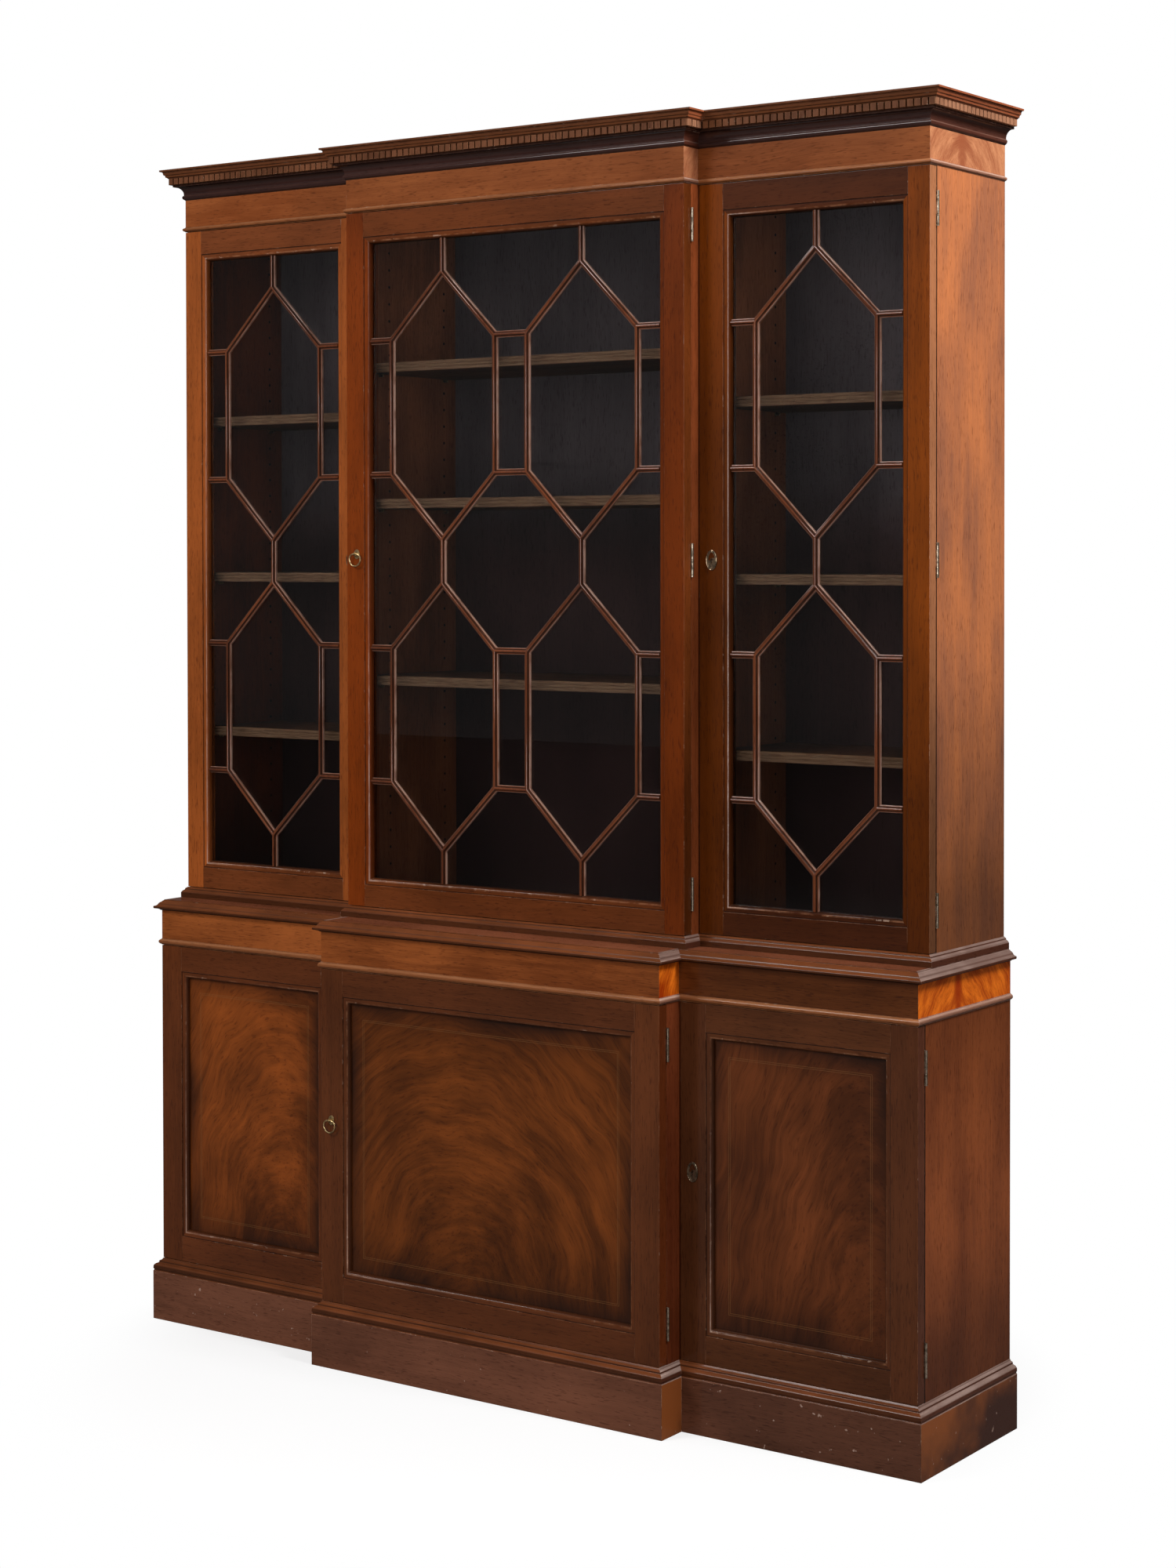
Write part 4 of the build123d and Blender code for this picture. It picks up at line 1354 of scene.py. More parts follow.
@dataclass(frozen=True)
class Plan:
    """The stepped front of one storey."""

    half: float
    inner: float
    wing: float
    centre: float
    back: float

    @classmethod
    def of(cls, storey: Storey) -> "Plan":
        """Read a storey's plan from its doors and sides.

        Args:
            storey: the storey.

        Returns:
            Its plan.
        """
        name = storey.value
        (_, side), (low, _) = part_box(f"{name}_outer_sides"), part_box(f"{name}_right_door_frame")
        middle_low, middle_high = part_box(f"{name}_centre_door_frame")
        return cls(side.x, middle_high.x, low.y, middle_low.y, side.y)

    def route(self) -> Route:
        """The front's corners.

        Returns:
            A route from the back left round to the back right.
        """
        wing = [(-self.half, self.back), (-self.half, self.wing)]
        left = [*wing, (-self.inner, self.wing), (-self.inner, self.centre)]
        return Route((*left, *((-x, y) for x, y in reversed(left))))


@dataclass(frozen=True)
class DoorPlace:
    """Where one door is."""

    storey: Storey
    section: Section

    @property
    def name(self) -> str:
        """The door's body."""
        return f"{self.storey.value}_{self.section.value}_door"

    @property
    def corners(self) -> tuple[Vector, Vector]:
        """The frame's lowest and highest corners."""
        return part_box(f"{self.name}_frame")

    @property
    def hinge_side(self) -> int:
        """The way of the hinges: 1 to the right, -1 to the left."""
        return -1 if self.section is Section.LEFT else 1


# The bookcase's own pieces


@dataclass(frozen=True)
class Tones:
    """The polish of a moulding on its fronts and on its sides: a shaded and a lit copy of one wood, painted
    light, with arris wear and painted highlights.
    """

    name: str
    front: Shades
    side: Shades
    worn_and_highlight: tuple[Colour, Colour]
    top_highlight: tuple[float, float]
    coat: float = 0.35

    def finishes(self) -> list[Finish]:
        """The two finishes.

        Returns:
            The finish of the fronts, then of the sides.
        """
        shared = {"contrast": 0.5, "seed": 3.0, "coat": self.coat, "gloss": 0.14, "wear": 0.5}
        sides = ("front", self.front, Grain.ALONG_X), ("side", self.side, Grain.ALONG_Y)
        return [
            MouldingFinish(f"{self.name} {word}", *wood, grain, worn_and_highlight=worn_and_highlight, top_highlight=top_highlight, **shared)
            for (word, wood, grain), worn_and_highlight, top_highlight in zip(sides, self.worn_and_highlight, self.top_highlight)
        ]


@dataclass(frozen=True)
class Moulding:
    """A moulding mitred round the stepped front."""

    node: str
    projection: float
    backing: float
    profile: tuple[Triple, ...]
    tones: Tones
    ease: float = 0.4 * MM

    def build(self, plan: Plan, finishes: Sequence[Finish]) -> bpy.types.Object:
        """Carry the section round the front.

        Args:
            plan: the storey's stepped front.
            finishes: the finish of the fronts, then of the sides.

        Returns:
            The piece.
        """
        low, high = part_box(self.node)
        height = high.z - low.z
        outer = [(self.projection * out, height * up, -height * bulge) for out, up, bulge in self.profile]
        line = trace([(-self.backing, 0.0, 0.0), *outer, (-self.backing, height, 0.0)])
        bm = bmesh.new()
        carry(bm, line, plan.route(), level(low.z), self.ease)
        return make_piece(bm, f"{self.node}_run", "carcass", finishes, [self.node])


@dataclass(frozen=True)
class DentilBand:
    """Small blocks in a row on a fillet, round the stepped front."""

    node: str = "dentil_moulding"
    projection: float = 23.8 * MM
    bed: float = 17.5 * MM
    backing: float = 20 * MM
    pitch: float = 13.8 * MM
    gap: float = 2.6 * MM
    fillet: float = 3.5 * MM
    ease: float = 0.45 * MM

    def build(self, plan: Plan, finishes: Sequence[Finish]) -> bpy.types.Object:
        """Run the bed round the front and set the blocks on it.

        Args:
            plan: the storey's stepped front.
            finishes: the bed's finish on the fronts and on the sides, and the blocks' in the same order.

        Returns:
            The piece.
        """
        low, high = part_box(self.node)
        route = plan.route()
        bm = bmesh.new()
        height = high.z - low.z
        bed = [(-self.backing, 0), (self.bed, 0), (self.bed, height), (-self.backing, height)]
        carry(bm, bed, route, level(low.z))
        corners = [Vector(route.at(station, self.projection)) for station in range(len(route.corners))]
        for station, (start, end) in enumerate(zip(corners, corners[1:]), 1):
            self.add_row(bm, start, end, (low.z + self.fillet, high.z), 2 if start.y == end.y else 3)
        return make_piece(bm, f"{self.node}_run", "carcass", finishes, [self.node])

    def add_row(self, bm: bmesh.types.BMesh, start: Vector, end: Vector, heights: Point, index: int) -> None:
        """Set the blocks of one straight.

        Args:
            bm: the shape that they join.
            start: where the straight's face starts.
            end: where it ends.
            heights: the blocks' feet and tops.
            index: the number of their finish.
        """
        run, way = end - start, (end - start).normalized()
        count = round(run.length / self.pitch)
        inward = Vector((-way.y, way.x)) * (self.projection - self.bed + self.ease)
        for turn in range(count):
            first = start + run * (turn / count) + way * (self.gap / 2)
            last = start + run * ((turn + 1) / count) - way * (self.gap / 2) + inward
            low = (min(first.x, last.x), min(first.y, last.y), heights[0])
            high = (max(first.x, last.x), max(first.y, last.y), heights[1])
            add_board(bm, low, high, self.ease, index, segments=1)


@dataclass(frozen=True)
class DoorFrame:
    """Two stiles and two rails with an ovolo worked round the opening."""

    stile: float
    lock_stile: float
    top_rail: float
    bottom_rail: float
    setback: float
    infill: float
    sticking: float = 13 * MM
    quirk: float = 1.8 * MM
    ovolo: float = 8 * MM
    groove: float = 6 * MM
    ease: float = 0.6 * MM

    def opening(self, door: DoorPlace) -> tuple[float, float, float, float]:
        """The opening at the sticking's outer edge.

        Args:
            door: the door.

        Returns:
            Its left, right, low and high.
        """
        low, high = door.corners
        free = self.stile if door.section is Section.CENTRE else self.lock_stile
        left, right = (self.stile, free) if door.section is Section.LEFT else (free, self.stile)
        return low.x + left, high.x - right, low.z + self.bottom_rail, high.z - self.top_rail

    def build(self, door: DoorPlace, finishes: Sequence[Finish]) -> bpy.types.Object:
        """Make the frame.

        Args:
            door: the door.
            finishes: the finish of the rails, of the stiles and of the hinged edge.

        Returns:
            The piece.
        """
        (x0, y0, z0), (x1, y1, z1) = door.corners
        left, right, low, high = self.opening(door)
        bm = bmesh.new()
        for board_low, board_high, index in (
            ((x0, y0, z0), (left, y1, z1), 1),
            ((right, y0, z0), (x1, y1, z1), 1),
            ((left, y0, z0), (right, y1, low), 0),
            ((left, y0, high), (right, y1, z1), 0),
        ):
            add_board(bm, board_low, board_high, self.ease, index)
        outer = x1 if door.hinge_side > 0 else x0
        for face in bm.faces:
            if abs(face.calc_center_median().x - outer) < TOUCH:
                face.material_index = 2
        inner, flat, bottom = self.sticking, self.sticking - self.ovolo, self.sticking - self.groove
        front, back = self.setback, self.setback + self.infill
        curve = inner, self.quirk + self.ovolo, -QUARTER_ROUND * self.ovolo
        face = trace([(0, self.quirk, 0), (flat, self.quirk, 0), curve])
        groove = [(inner, front), (bottom, front), (bottom, back), (inner, back)]
        route = Route(((left, low), (left, high), (right, high), (right, low)), True)
        carry(bm, [*face, *groove, (inner, y1 - y0), (0, y1 - y0)], route, upright(y0))
        return make_piece(bm, f"{door.name}_joinery", door.name, finishes, [f"{door.name}_frame"])


@dataclass(frozen=True)
class Lattice:
    """Glazing bars: elongated hexagons tied to the frame, a flat fillet with a raised bead.

    The shoulder is how far the fillet's round goes in and back, and its bulge. The crown is the depth of the
    bead's round and its bulge.
    """

    width: float = 12 * MM
    depth: float = 5 * MM
    bead: float = 5 * MM
    bead_depth: float = 4 * MM
    stub: float = 74 * MM
    link: float = 81 * MM
    margin: float = 61 * MM
    spacing: float = 72 * MM
    slope: float = 1.0
    overlap: float = 0.3 * MM
    shoulder: Triple = (1.6 * MM, 1.2 * MM, 0.3 * MM)
    crown: Point = (1.8 * MM, 0.5 * MM)
    corner: float = 0.5 * MM

    def profile(self) -> list[Point]:
        """The bar's section.

        Returns:
            Its outline, from the glass forward.
        """
        rim, bead, top = self.width / 2, self.bead / 2, self.depth + self.bead_depth
        inward, back, bulge = self.shoulder
        half = [(rim, 0, 0), (rim, self.depth - back, 0), (rim - inward, self.depth, -bulge)]
        half += [(bead + self.corner, self.depth, 0), (bead, self.depth + self.corner, 0)]
        half += [(bead, top - self.crown[0], 0), (0, top, -self.crown[1])]
        line = trace(half)
        return line + [(-x, y) for x, y in reversed(line[:-1])]

    def build(self, door: DoorPlace, frame_sizes: DoorFrame, finish: Finish) -> bpy.types.Object:
        """Run the bars.

        Args:
            door: the door.
            frame_sizes: the frame that holds them.
            finish: their finish.

        Returns:
            The piece.
        """
        node = f"{door.name}_glazing_bars"
        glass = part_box(node)[1].y
        left, right, low, high = frame_sizes.opening(door)
        inset = frame_sizes.sticking - self.overlap
        count = 2 if door.section is Section.CENTRE else 1
        half = (right - left - 2 * self.margin - (count - 1) * self.spacing) / (2 * count)
        rise = half * self.slope
        columns = [left + self.margin + half + n * (2 * half + self.spacing) for n in range(count)]
        tall = (high - low - 2 * self.stub - self.link) / 2
        bm = bmesh.new()
        runs: list[Route] = []
        for foot in (low + self.stub, high - self.stub - tall):
            top = foot + tall
            for x in columns:
                side = [(x, foot), (x + half, foot + rise), (x + half, top - rise), (x, top)]
                runs.append(Route((*side, (x - half, top - rise), (x - half, foot + rise)), True))
            stops = [left + inset, *(x + way * half for x in columns for way in (-1, 1)), right - inset]
            for z in (foot + rise, top - rise):
                runs += [Route(((a, z), (b, z))) for a, b in zip(stops[::2], stops[1::2])]
        for x in columns:
            spans = [(low + inset, low + self.stub), (low + self.stub + tall, high - self.stub - tall)]
            runs += [Route(((x, a), (x, b))) for a, b in (*spans, (high - self.stub, high - inset))]
        for route in runs:
            carry(bm, self.profile(), route, upright(glass, -1), two_ways=False)
        return make_piece(bm, f"{door.name}_lattice", door.name, [finish], [node])


@dataclass(frozen=True)
class ButtHinges:
    """The butt hinges of one door: leaves let into the wood, and turned knuckles at the edge."""

    height: float = 58 * MM
    inset: float = 70 * MM
    leaf: float = 15 * MM
    thickness: float = 1.5 * MM
    radius: float = 2.2 * MM
    pin: float = 2.6 * MM
    knuckles: int = 3
    gap: float = 0.2 * MM
    standoff: float = 0.3 * MM
    door_seat: float = 0.5 * MM
    clearance: float = 1 * MM
    leaf_ease: float = 0.2 * MM
    knuckle_ease: float = 0.35 * MM
    web_ease: float = 0.1 * MM

    def middles(self, door: DoorPlace) -> list[float]:
        """Heights of the hinges' middles.

        Args:
            door: the door.

        Returns:
            The heights.
        """
        low, high = door.corners
        count = 3 if door.storey is Storey.CASE else 2
        foot, top = low.z - self.clearance + self.inset, high.z + self.clearance - self.inset
        return [foot + (top - foot) * step / (count - 1) for step in range(count)]

    def add(self, bm: bmesh.types.BMesh, door: DoorPlace, fixed: bool) -> None:
        """Add one side's leaves and knuckles.

        Args:
            bm: the shape that they join.
            door: the door.
            fixed: whether they are the carcass's.
        """
        low, high = door.corners
        edge = low.x if door.hinge_side < 0 else high.x
        axis = Vector((edge + door.hinge_side * (self.pin + self.standoff), high.y + self.door_seat / 2, 0))
        toward = 1 if fixed else -1
        near = axis.y + toward * self.gap / 2
        step = self.height / self.knuckles
        for middle in self.middles(door):
            foot = middle - self.height / 2
            ends = (edge, edge - door.hinge_side * self.leaf), (near, near + toward * self.thickness)
            corner = (min(ends[0]), min(ends[1]), foot)
            far = (max(ends[0]), max(ends[1]), foot + self.height)
            add_board(bm, corner, far, self.leaf_ease, segments=1)
            for turn in range(0 if fixed else 1, self.knuckles, 2):
                start = axis + Vector((0, 0, foot + turn * step + self.gap / 2))
                end = start + Vector((0, 0, step - self.gap))
                add_pin(bm, start, end, self.radius, self.knuckle_ease)
                web = (min(edge, axis.x), min(near, near + toward * self.thickness), start.z)
                far = (max(edge, axis.x), web[1] + self.thickness, end.z)
                add_board(bm, web, far, self.web_ease, segments=1)


@dataclass(frozen=True)
class Lock:
    """A lock's edge plate and its oval escutcheon with a keyhole.

    The plate is how far it stands out of the door's edge and goes into it, and half its width.
    """

    width: float = 22 * MM
    height: float = 35 * MM
    inset: float = 25 * MM
    hole: float = 2.2 * MM
    facets: int = 16
    slot_width: float = 2 * MM
    drop: float = 7 * MM
    rise: float = 1.5 * MM
    floor: float = 0.2 * MM
    plate: Triple = (0.1 * MM, 1.4 * MM, 5.5 * MM)
    ease: float = 0.1 * MM
    steps: tuple[Point, ...] = (
        (0.1 * MM, 1.3 * MM), (0.35 * MM, 0.5 * MM), (0.5 * MM, 0.2 * MM), (0.5 * MM, -0.2 * MM),
        (0.25 * MM, -0.7 * MM), (0.7 * MM, -0.05 * MM), (0.25 * MM, 0.5 * MM), (0.45 * MM, 0.1 * MM),
        (0.3 * MM, -0.35 * MM), (0.9 * MM, -0.15 * MM),
    )

    def keyhole(self) -> list[Point]:
        """The keyhole.

        Returns:
            Its outline about the middle of its eye.
        """
        half = self.slot_width / 2
        start = atan2(half, (self.hole**2 - half**2) ** 0.5)
        turns = [start + 2 * (pi - start) * step / self.facets for step in range(self.facets + 1)]
        eye = [(self.hole * sin(turn), self.hole * cos(turn)) for turn in turns]
        return [*eye, (half, -self.drop), (-half, -self.drop)]

    def build(self, door: DoorPlace, finishes: Sequence[Finish]) -> bpy.types.Object:
        """Make the escutcheon and the edge plate.

        Args:
            door: the door.
            finishes: the brass, then the keyhole's near black, which is painted shade.

        Returns:
            The piece.
        """
        node = f"{door.name}_lock"
        low, high = door.corners
        box_low, box_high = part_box(node)
        way = -door.hinge_side
        edge = high.x if way > 0 else low.x
        z = (box_low.z + box_high.z) / 2
        bm = bmesh.new()
        middle = Vector((edge - way * self.inset, low.y, z))
        face = add_oval(bm, middle, (self.width / 2, self.height / 2), self.steps)
        self.cut_keyhole(bm, face, middle)
        proud, painted_shade, half = self.plate
        sides = edge + way * proud, edge - way * painted_shade
        depth = (low.y + high.y) / 2
        plate = (min(sides), depth - half, box_low.z), (max(sides), depth + half, box_high.z)
        add_board(bm, *plate, self.ease, segments=1)
        return make_piece(bm, f"{door.name}_escutcheon", door.name, finishes, [node])

    def cut_keyhole(self, bm: bmesh.types.BMesh, face: bmesh.types.BMFace, middle: Vector) -> None:
        """Cut the keyhole into the escutcheon's inner face.

        Args:
            bm: the escutcheon.
            face: its inner face.
            middle: the middle of the keyhole's eye.
        """
        y = face.verts[0].co.y
        border = list(face.edges)
        bmesh.ops.delete(bm, geom=[face], context="FACES_ONLY")
        ring = [bm.verts.new((middle.x + x, y, middle.z + self.rise + up)) for x, up in self.keyhole()]
        edges = [bm.edges.new(pair) for pair in zip(ring, ring[1:] + ring[:1])]
        bmesh.ops.triangle_fill(bm, use_beauty=True, edges=border + edges)
        verts, deep = extrude_loop(bm, edges)
        for vert in verts:
            vert.co.y = middle.y + self.floor
        walls = unique(face for vert in verts for face in vert.link_faces)
        for made in (*walls, *bmesh.ops.edgeloop_fill(bm, edges=deep)["faces"]):
            made.material_index = 1


@dataclass(frozen=True)
class DropPull:
    """A bell-shaped wire handle that hangs through a pierced lug on an oval plate."""

    wire: float = 1.5 * MM
    shoulder: float = 9 * MM
    bow: float = 13.2 * MM
    lug: float = 3.2 * MM
    lug_radius: float = 3.4 * MM
    cheek: float = 0.9 * MM
    neck_share: float = 0.8
    bow_steps: int = 14
    shoulder_steps: int = 7
    sides: int = 12
    ease: float = 0.3 * MM
    steps: tuple[Point, ...] = ((0.05 * MM, 0.9 * MM), (0.5 * MM, 0.5 * MM), (1.2 * MM, 0.1 * MM))

    def build_plate(self, storey: Storey, finish: Finish) -> bpy.types.Object:
        """The plate with its lug.

        Args:
            storey: the storey.
            finish: the brass.

        Returns:
            The piece.
        """
        node = f"{storey.value}_pull_plate"
        low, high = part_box(node)
        middle = Vector(((low.x + high.x) / 2, high.y, (low.z + high.z) / 2))
        bm = bmesh.new()
        add_oval(bm, middle, ((high.x - low.x) / 2, (high.z - low.z) / 2), self.steps)
        pivot = middle.copy()
        pivot.y = low.y + self.lug_radius
        for side in (-1, 1):
            start = pivot + Vector((side * self.lug / 2, 0, 0))
            add_pin(bm, start, start - Vector((side * self.cheek, 0, 0)), self.lug_radius, self.ease)
        add_pin(bm, pivot, middle, self.lug_radius * self.neck_share, self.ease)
        body = f"{storey.value}_centre_door"
        return make_piece(bm, f"{storey.value}_pull_rose", body, [finish], [node])

    def build_drop(self, storey: Storey, finish: Finish) -> bpy.types.Object:
        """The bent wire.

        Args:
            storey: the storey.
            finish: the brass.

        Returns:
            The piece.
        """
        node = f"{storey.value}_pull_drop"
        low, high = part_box(node)
        x, y, z = (low.x + high.x) / 2, (low.y + high.y) / 2, high.z - self.wire
        straight = self.bow - self.shoulder
        line: list[Point] = []
        for middle, radius, start, turn in (
            ((straight, -self.shoulder), self.shoulder, pi / 2, -pi / 2),
            ((0, -self.shoulder), self.bow, 0, -pi),
            ((-straight, -self.shoulder), self.shoulder, pi, -pi / 2),
        ):
            steps = self.bow_steps if radius == self.bow else self.shoulder_steps
            turns = [start + turn * step / steps for step in range(steps)]
            line += [(x + middle[0] + radius * cos(a), z + middle[1] + radius * sin(a)) for a in turns]
        line.append((x - straight, z))
        turns = [2 * pi * step / self.sides for step in range(self.sides)]
        section = [(self.wire * cos(turn), self.wire * sin(turn)) for turn in turns]
        bm = bmesh.new()
        carry(bm, section, Route(tuple(line), True), upright(y), two_ways=False)
        return make_piece(bm, f"{storey.value}_pull_bail", f"{storey.value}_pull", [finish], [node])


# The photograph's view


@dataclass(frozen=True)
class Lamp:
    """A square soft lamp."""

    name: str
    place: Triple
    aim: Triple
    size: float
    power: float

    def hang(self) -> None:
        """Hang the lamp and turn it to its aim."""
        light = bpy.data.lights.new(self.name, "AREA")
        light.shape = "RECTANGLE"
        light.size = light.size_y = self.size
        light.energy = self.power
        lamp = bpy.data.objects.new(self.name, light)
        turn = (Vector(self.aim) - Vector(self.place)).to_track_quat("-Z", "Y")
        lamp.matrix_world = Matrix.Translation(self.place) @ turn.to_matrix().to_4x4()
        lamp.visible_transmission = False
        bpy.context.scene.collection.objects.link(lamp)


@dataclass(frozen=True)
class Studio:
    """Camera, lamps and floor."""

    eye: Triple = (2.9873, -4.02005, 1.4929)
    azimuth: float = radians(34.5048)
    elevation: float = radians(1.0307)
    roll: float = radians(-0.0535)
    focal: float = 3511.53
    principal: Point = (824.34, 772.67)
    image: Point = (1500.0, 2000.0)
    sensor: float = 36.0
    ambient: float = 0.32
    mirrored: float = 0.07
    sight: float = 100.0
    floor: float = 14.0
    lamps: tuple[Lamp, ...] = (
        Lamp("key", (2.7, -0.3, 3.6), (0.85, 0.0, 1.8), 1.0, 100.0),
        Lamp("left", (-2.3, -4.2, 4.4), (-0.2, 0.0, 1.1), 1.7, 165.0),
        Lamp("front", (1.4, -4.8, 2.0), (0.0, 0.0, 0.9), 1.6, 80.0),
    )

    def build(self) -> None:
        """Set up the whole view."""
        self.add_camera()
        for lamp in self.lamps:
            lamp.hang()
        self.set_world()
        self.add_floor()

    def add_camera(self) -> None:
        """Stand the camera where the photograph was taken."""
        camera = bpy.data.cameras.new("camera")
        width, height = self.image
        camera.sensor_fit = "AUTO"
        camera.sensor_width = self.sensor
        camera.lens = self.focal * self.sensor / height
        camera.shift_x = (width / 2 - self.principal[0]) / height
        camera.shift_y = (self.principal[1] - height / 2) / height
        camera.clip_end = self.sight
        view = bpy.data.objects.new("camera", camera)
        turn = Matrix.Rotation(self.azimuth, 4, "Z") @ Matrix.Rotation(pi / 2 - self.elevation, 4, "X")
        view.matrix_world = Matrix.Translation(self.eye) @ turn @ Matrix.Rotation(self.roll, 4, "Z")
        bpy.context.scene.collection.objects.link(view)
        bpy.context.scene.camera = view

    def set_world(self) -> None:
        """White to the camera and in reflections, softer as light."""
        world = bpy.data.worlds.new("studio")
        world.use_nodes = True
        world.node_tree.nodes.clear()
        graph = Graph(world.node_tree)
        path = graph.node("ShaderNodeLightPath")
        seen = seen_direct(graph, path)
        bent = graph.math("GREATER_THAN", path.outputs["Glossy Depth"], 0.5)
        dim = graph.times(bent, self.ambient - self.mirrored)
        strength = graph.math("MAXIMUM", seen, graph.math("SUBTRACT", self.ambient, dim))
        sky = graph.node("ShaderNodeBackground", {"Color": WHITE, "Strength": strength})
        graph.node("ShaderNodeOutputWorld", {"Surface": sky.outputs[0]})
        bpy.context.scene.world = world

    def add_floor(self) -> None:
        """A broad white floor."""
        bm = bmesh.new()
        bmesh.ops.create_grid(bm, x_segments=1, y_segments=1, size=self.floor)
        mesh = bpy.data.meshes.new("floor")
        bm.to_mesh(mesh)
        bm.free()
        mesh.materials.append(FloorFinish("white floor").material())
        floor = bpy.data.objects.new("floor", mesh)
        bpy.context.scene.collection.objects.link(floor)


# The bookcase


def shades(mean: Triple, spread: float = 0.38) -> Shades:
    """A wood's dark and light, from its mean colour.

    Args:
        mean: the mean's linear parts.
        spread: how far the two stand from it, as a share.

    Returns:
        The dark and the light.
    """
    return tint(*(part * (1 - spread) for part in mean)), tint(*(part * (1 + spread) for part in mean))


# The mean colours of each door's rails and stiles, which differ from door to door partly as the wood's own
# and partly as painted light, lighter on the left where more light falls
STILE_TONES = {
    (Storey.CASE, Section.LEFT): ((0.13, 0.034, 0.009), (0.235, 0.058, 0.011)),
    (Storey.CASE, Section.CENTRE): ((0.105, 0.026, 0.006), (0.137, 0.024, 0.002)),
    (Storey.CASE, Section.RIGHT): ((0.050, 0.012, 0.003), (0.152, 0.032, 0.002)),
    (Storey.BASE, Section.LEFT): ((0.085, 0.022, 0.006), (0.095, 0.024, 0.006)),
    (Storey.BASE, Section.CENTRE): ((0.078, 0.021, 0.006), (0.082, 0.022, 0.006)),
    (Storey.BASE, Section.RIGHT): ((0.068, 0.020, 0.006), (0.066, 0.019, 0.006)),
}

# The mean colours of the doors' hinged edges: lit and shaded copies of the doors' wood as painted light,
# lightest on the case's outer doors, whose edges face the lamps
EDGE_TONES = {
    (Storey.CASE, Section.LEFT): (0.24, 0.08, 0.03),
    (Storey.CASE, Section.CENTRE): (0.17, 0.040, 0.008),
    (Storey.CASE, Section.RIGHT): (0.34, 0.13, 0.055),
    (Storey.BASE, Section.LEFT): (0.10, 0.030, 0.010),
    (Storey.BASE, Section.CENTRE): (0.11, 0.024, 0.006),
    (Storey.BASE, Section.RIGHT): (0.10, 0.030, 0.014),
}

# Painted shade on the ends of the stiles that stand in shade
STILE_PAINTED_SHADING = {
    (Storey.CASE, Section.CENTRE): ((RIGHTWARD, 0.20, 0.28, 0.72),),
    (Storey.CASE, Section.RIGHT): (((-1, 0, -0.6), -1.72, -1.38, 0.43),),
}


@dataclass(frozen=True)
class CarcassTones:
    """The woods of one storey's carcass, and their painted shading."""

    side: Shades
    side_painted_shading: PaintedShading
    partition: Shades
    partition_painted_shading: PaintedShading
    frieze: Shades
    frieze_ends: Shades
    frieze_painted_shading: PaintedShading


# Painted shading: sides and partitions darker toward the foot, the base's side also under its top, and the
# friezes darker to the right
CARCASS_TONES = {
    Storey.CASE: CarcassTones(
        # The case side's greyish dark is partly a painted reflection of the bright room
        side=(tint(0.25, 0.094, 0.052), tint(0.55, 0.178, 0.060)),
        side_painted_shading=((DOWN, -1.4, -1.05, 0.7), (DOWN, -1.08, -0.9, 0.6)),
        partition=(tint(0.16, 0.036, 0.010), tint(0.42, 0.10, 0.028)),
        partition_painted_shading=((DOWN, -2.0, -1.45, 0.45),),
        frieze=(tint(0.155, 0.036, 0.007), tint(0.345, 0.100, 0.026)),
        frieze_ends=(tint(0.28, 0.078, 0.032), tint(0.57, 0.24, 0.11)),
        frieze_painted_shading=((RIGHTWARD, -0.55, -0.45, 0.78),),
    ),
    Storey.BASE: CarcassTones(
        side=(tint(0.15, 0.037, 0.012), tint(0.31, 0.080, 0.022)),
        side_painted_shading=((UP, 0.45, 0.8, 0.65), (DOWN, -0.4, -0.12, 0.45)),
        partition=(tint(0.08, 0.016, 0.005), tint(0.20, 0.045, 0.014)),
        partition_painted_shading=(),
        frieze=(tint(0.10, 0.022, 0.004), tint(0.33, 0.090, 0.020)),
        frieze_ends=(tint(0.31, 0.024, 0.001), tint(0.92, 0.21, 0.013)),
        frieze_painted_shading=((RIGHTWARD, 0.25, 0.5, 0.3),),
    ),
}


@dataclass(frozen=True)
class PanelFigure:
    """The flame of a base door's panel: its mean colour, arch and lean, and its focus from the middle."""

    mean: Triple
    arch: float
    lean: float
    aside: float
    drop: float


# The panels' means differ partly as painted light, lighter on the left where more light falls
PANEL_FIGURES = {
    Section.LEFT: PanelFigure((0.182, 0.042, 0.006), 0.55, 0.02, 0.10, -0.30),
    Section.CENTRE: PanelFigure((0.120, 0.029, 0.004), 0.75, 0.03, -0.02, -0.32),
    Section.RIGHT: PanelFigure((0.100, 0.025, 0.006), 0.40, 0.02, 0.16, -0.34),
}


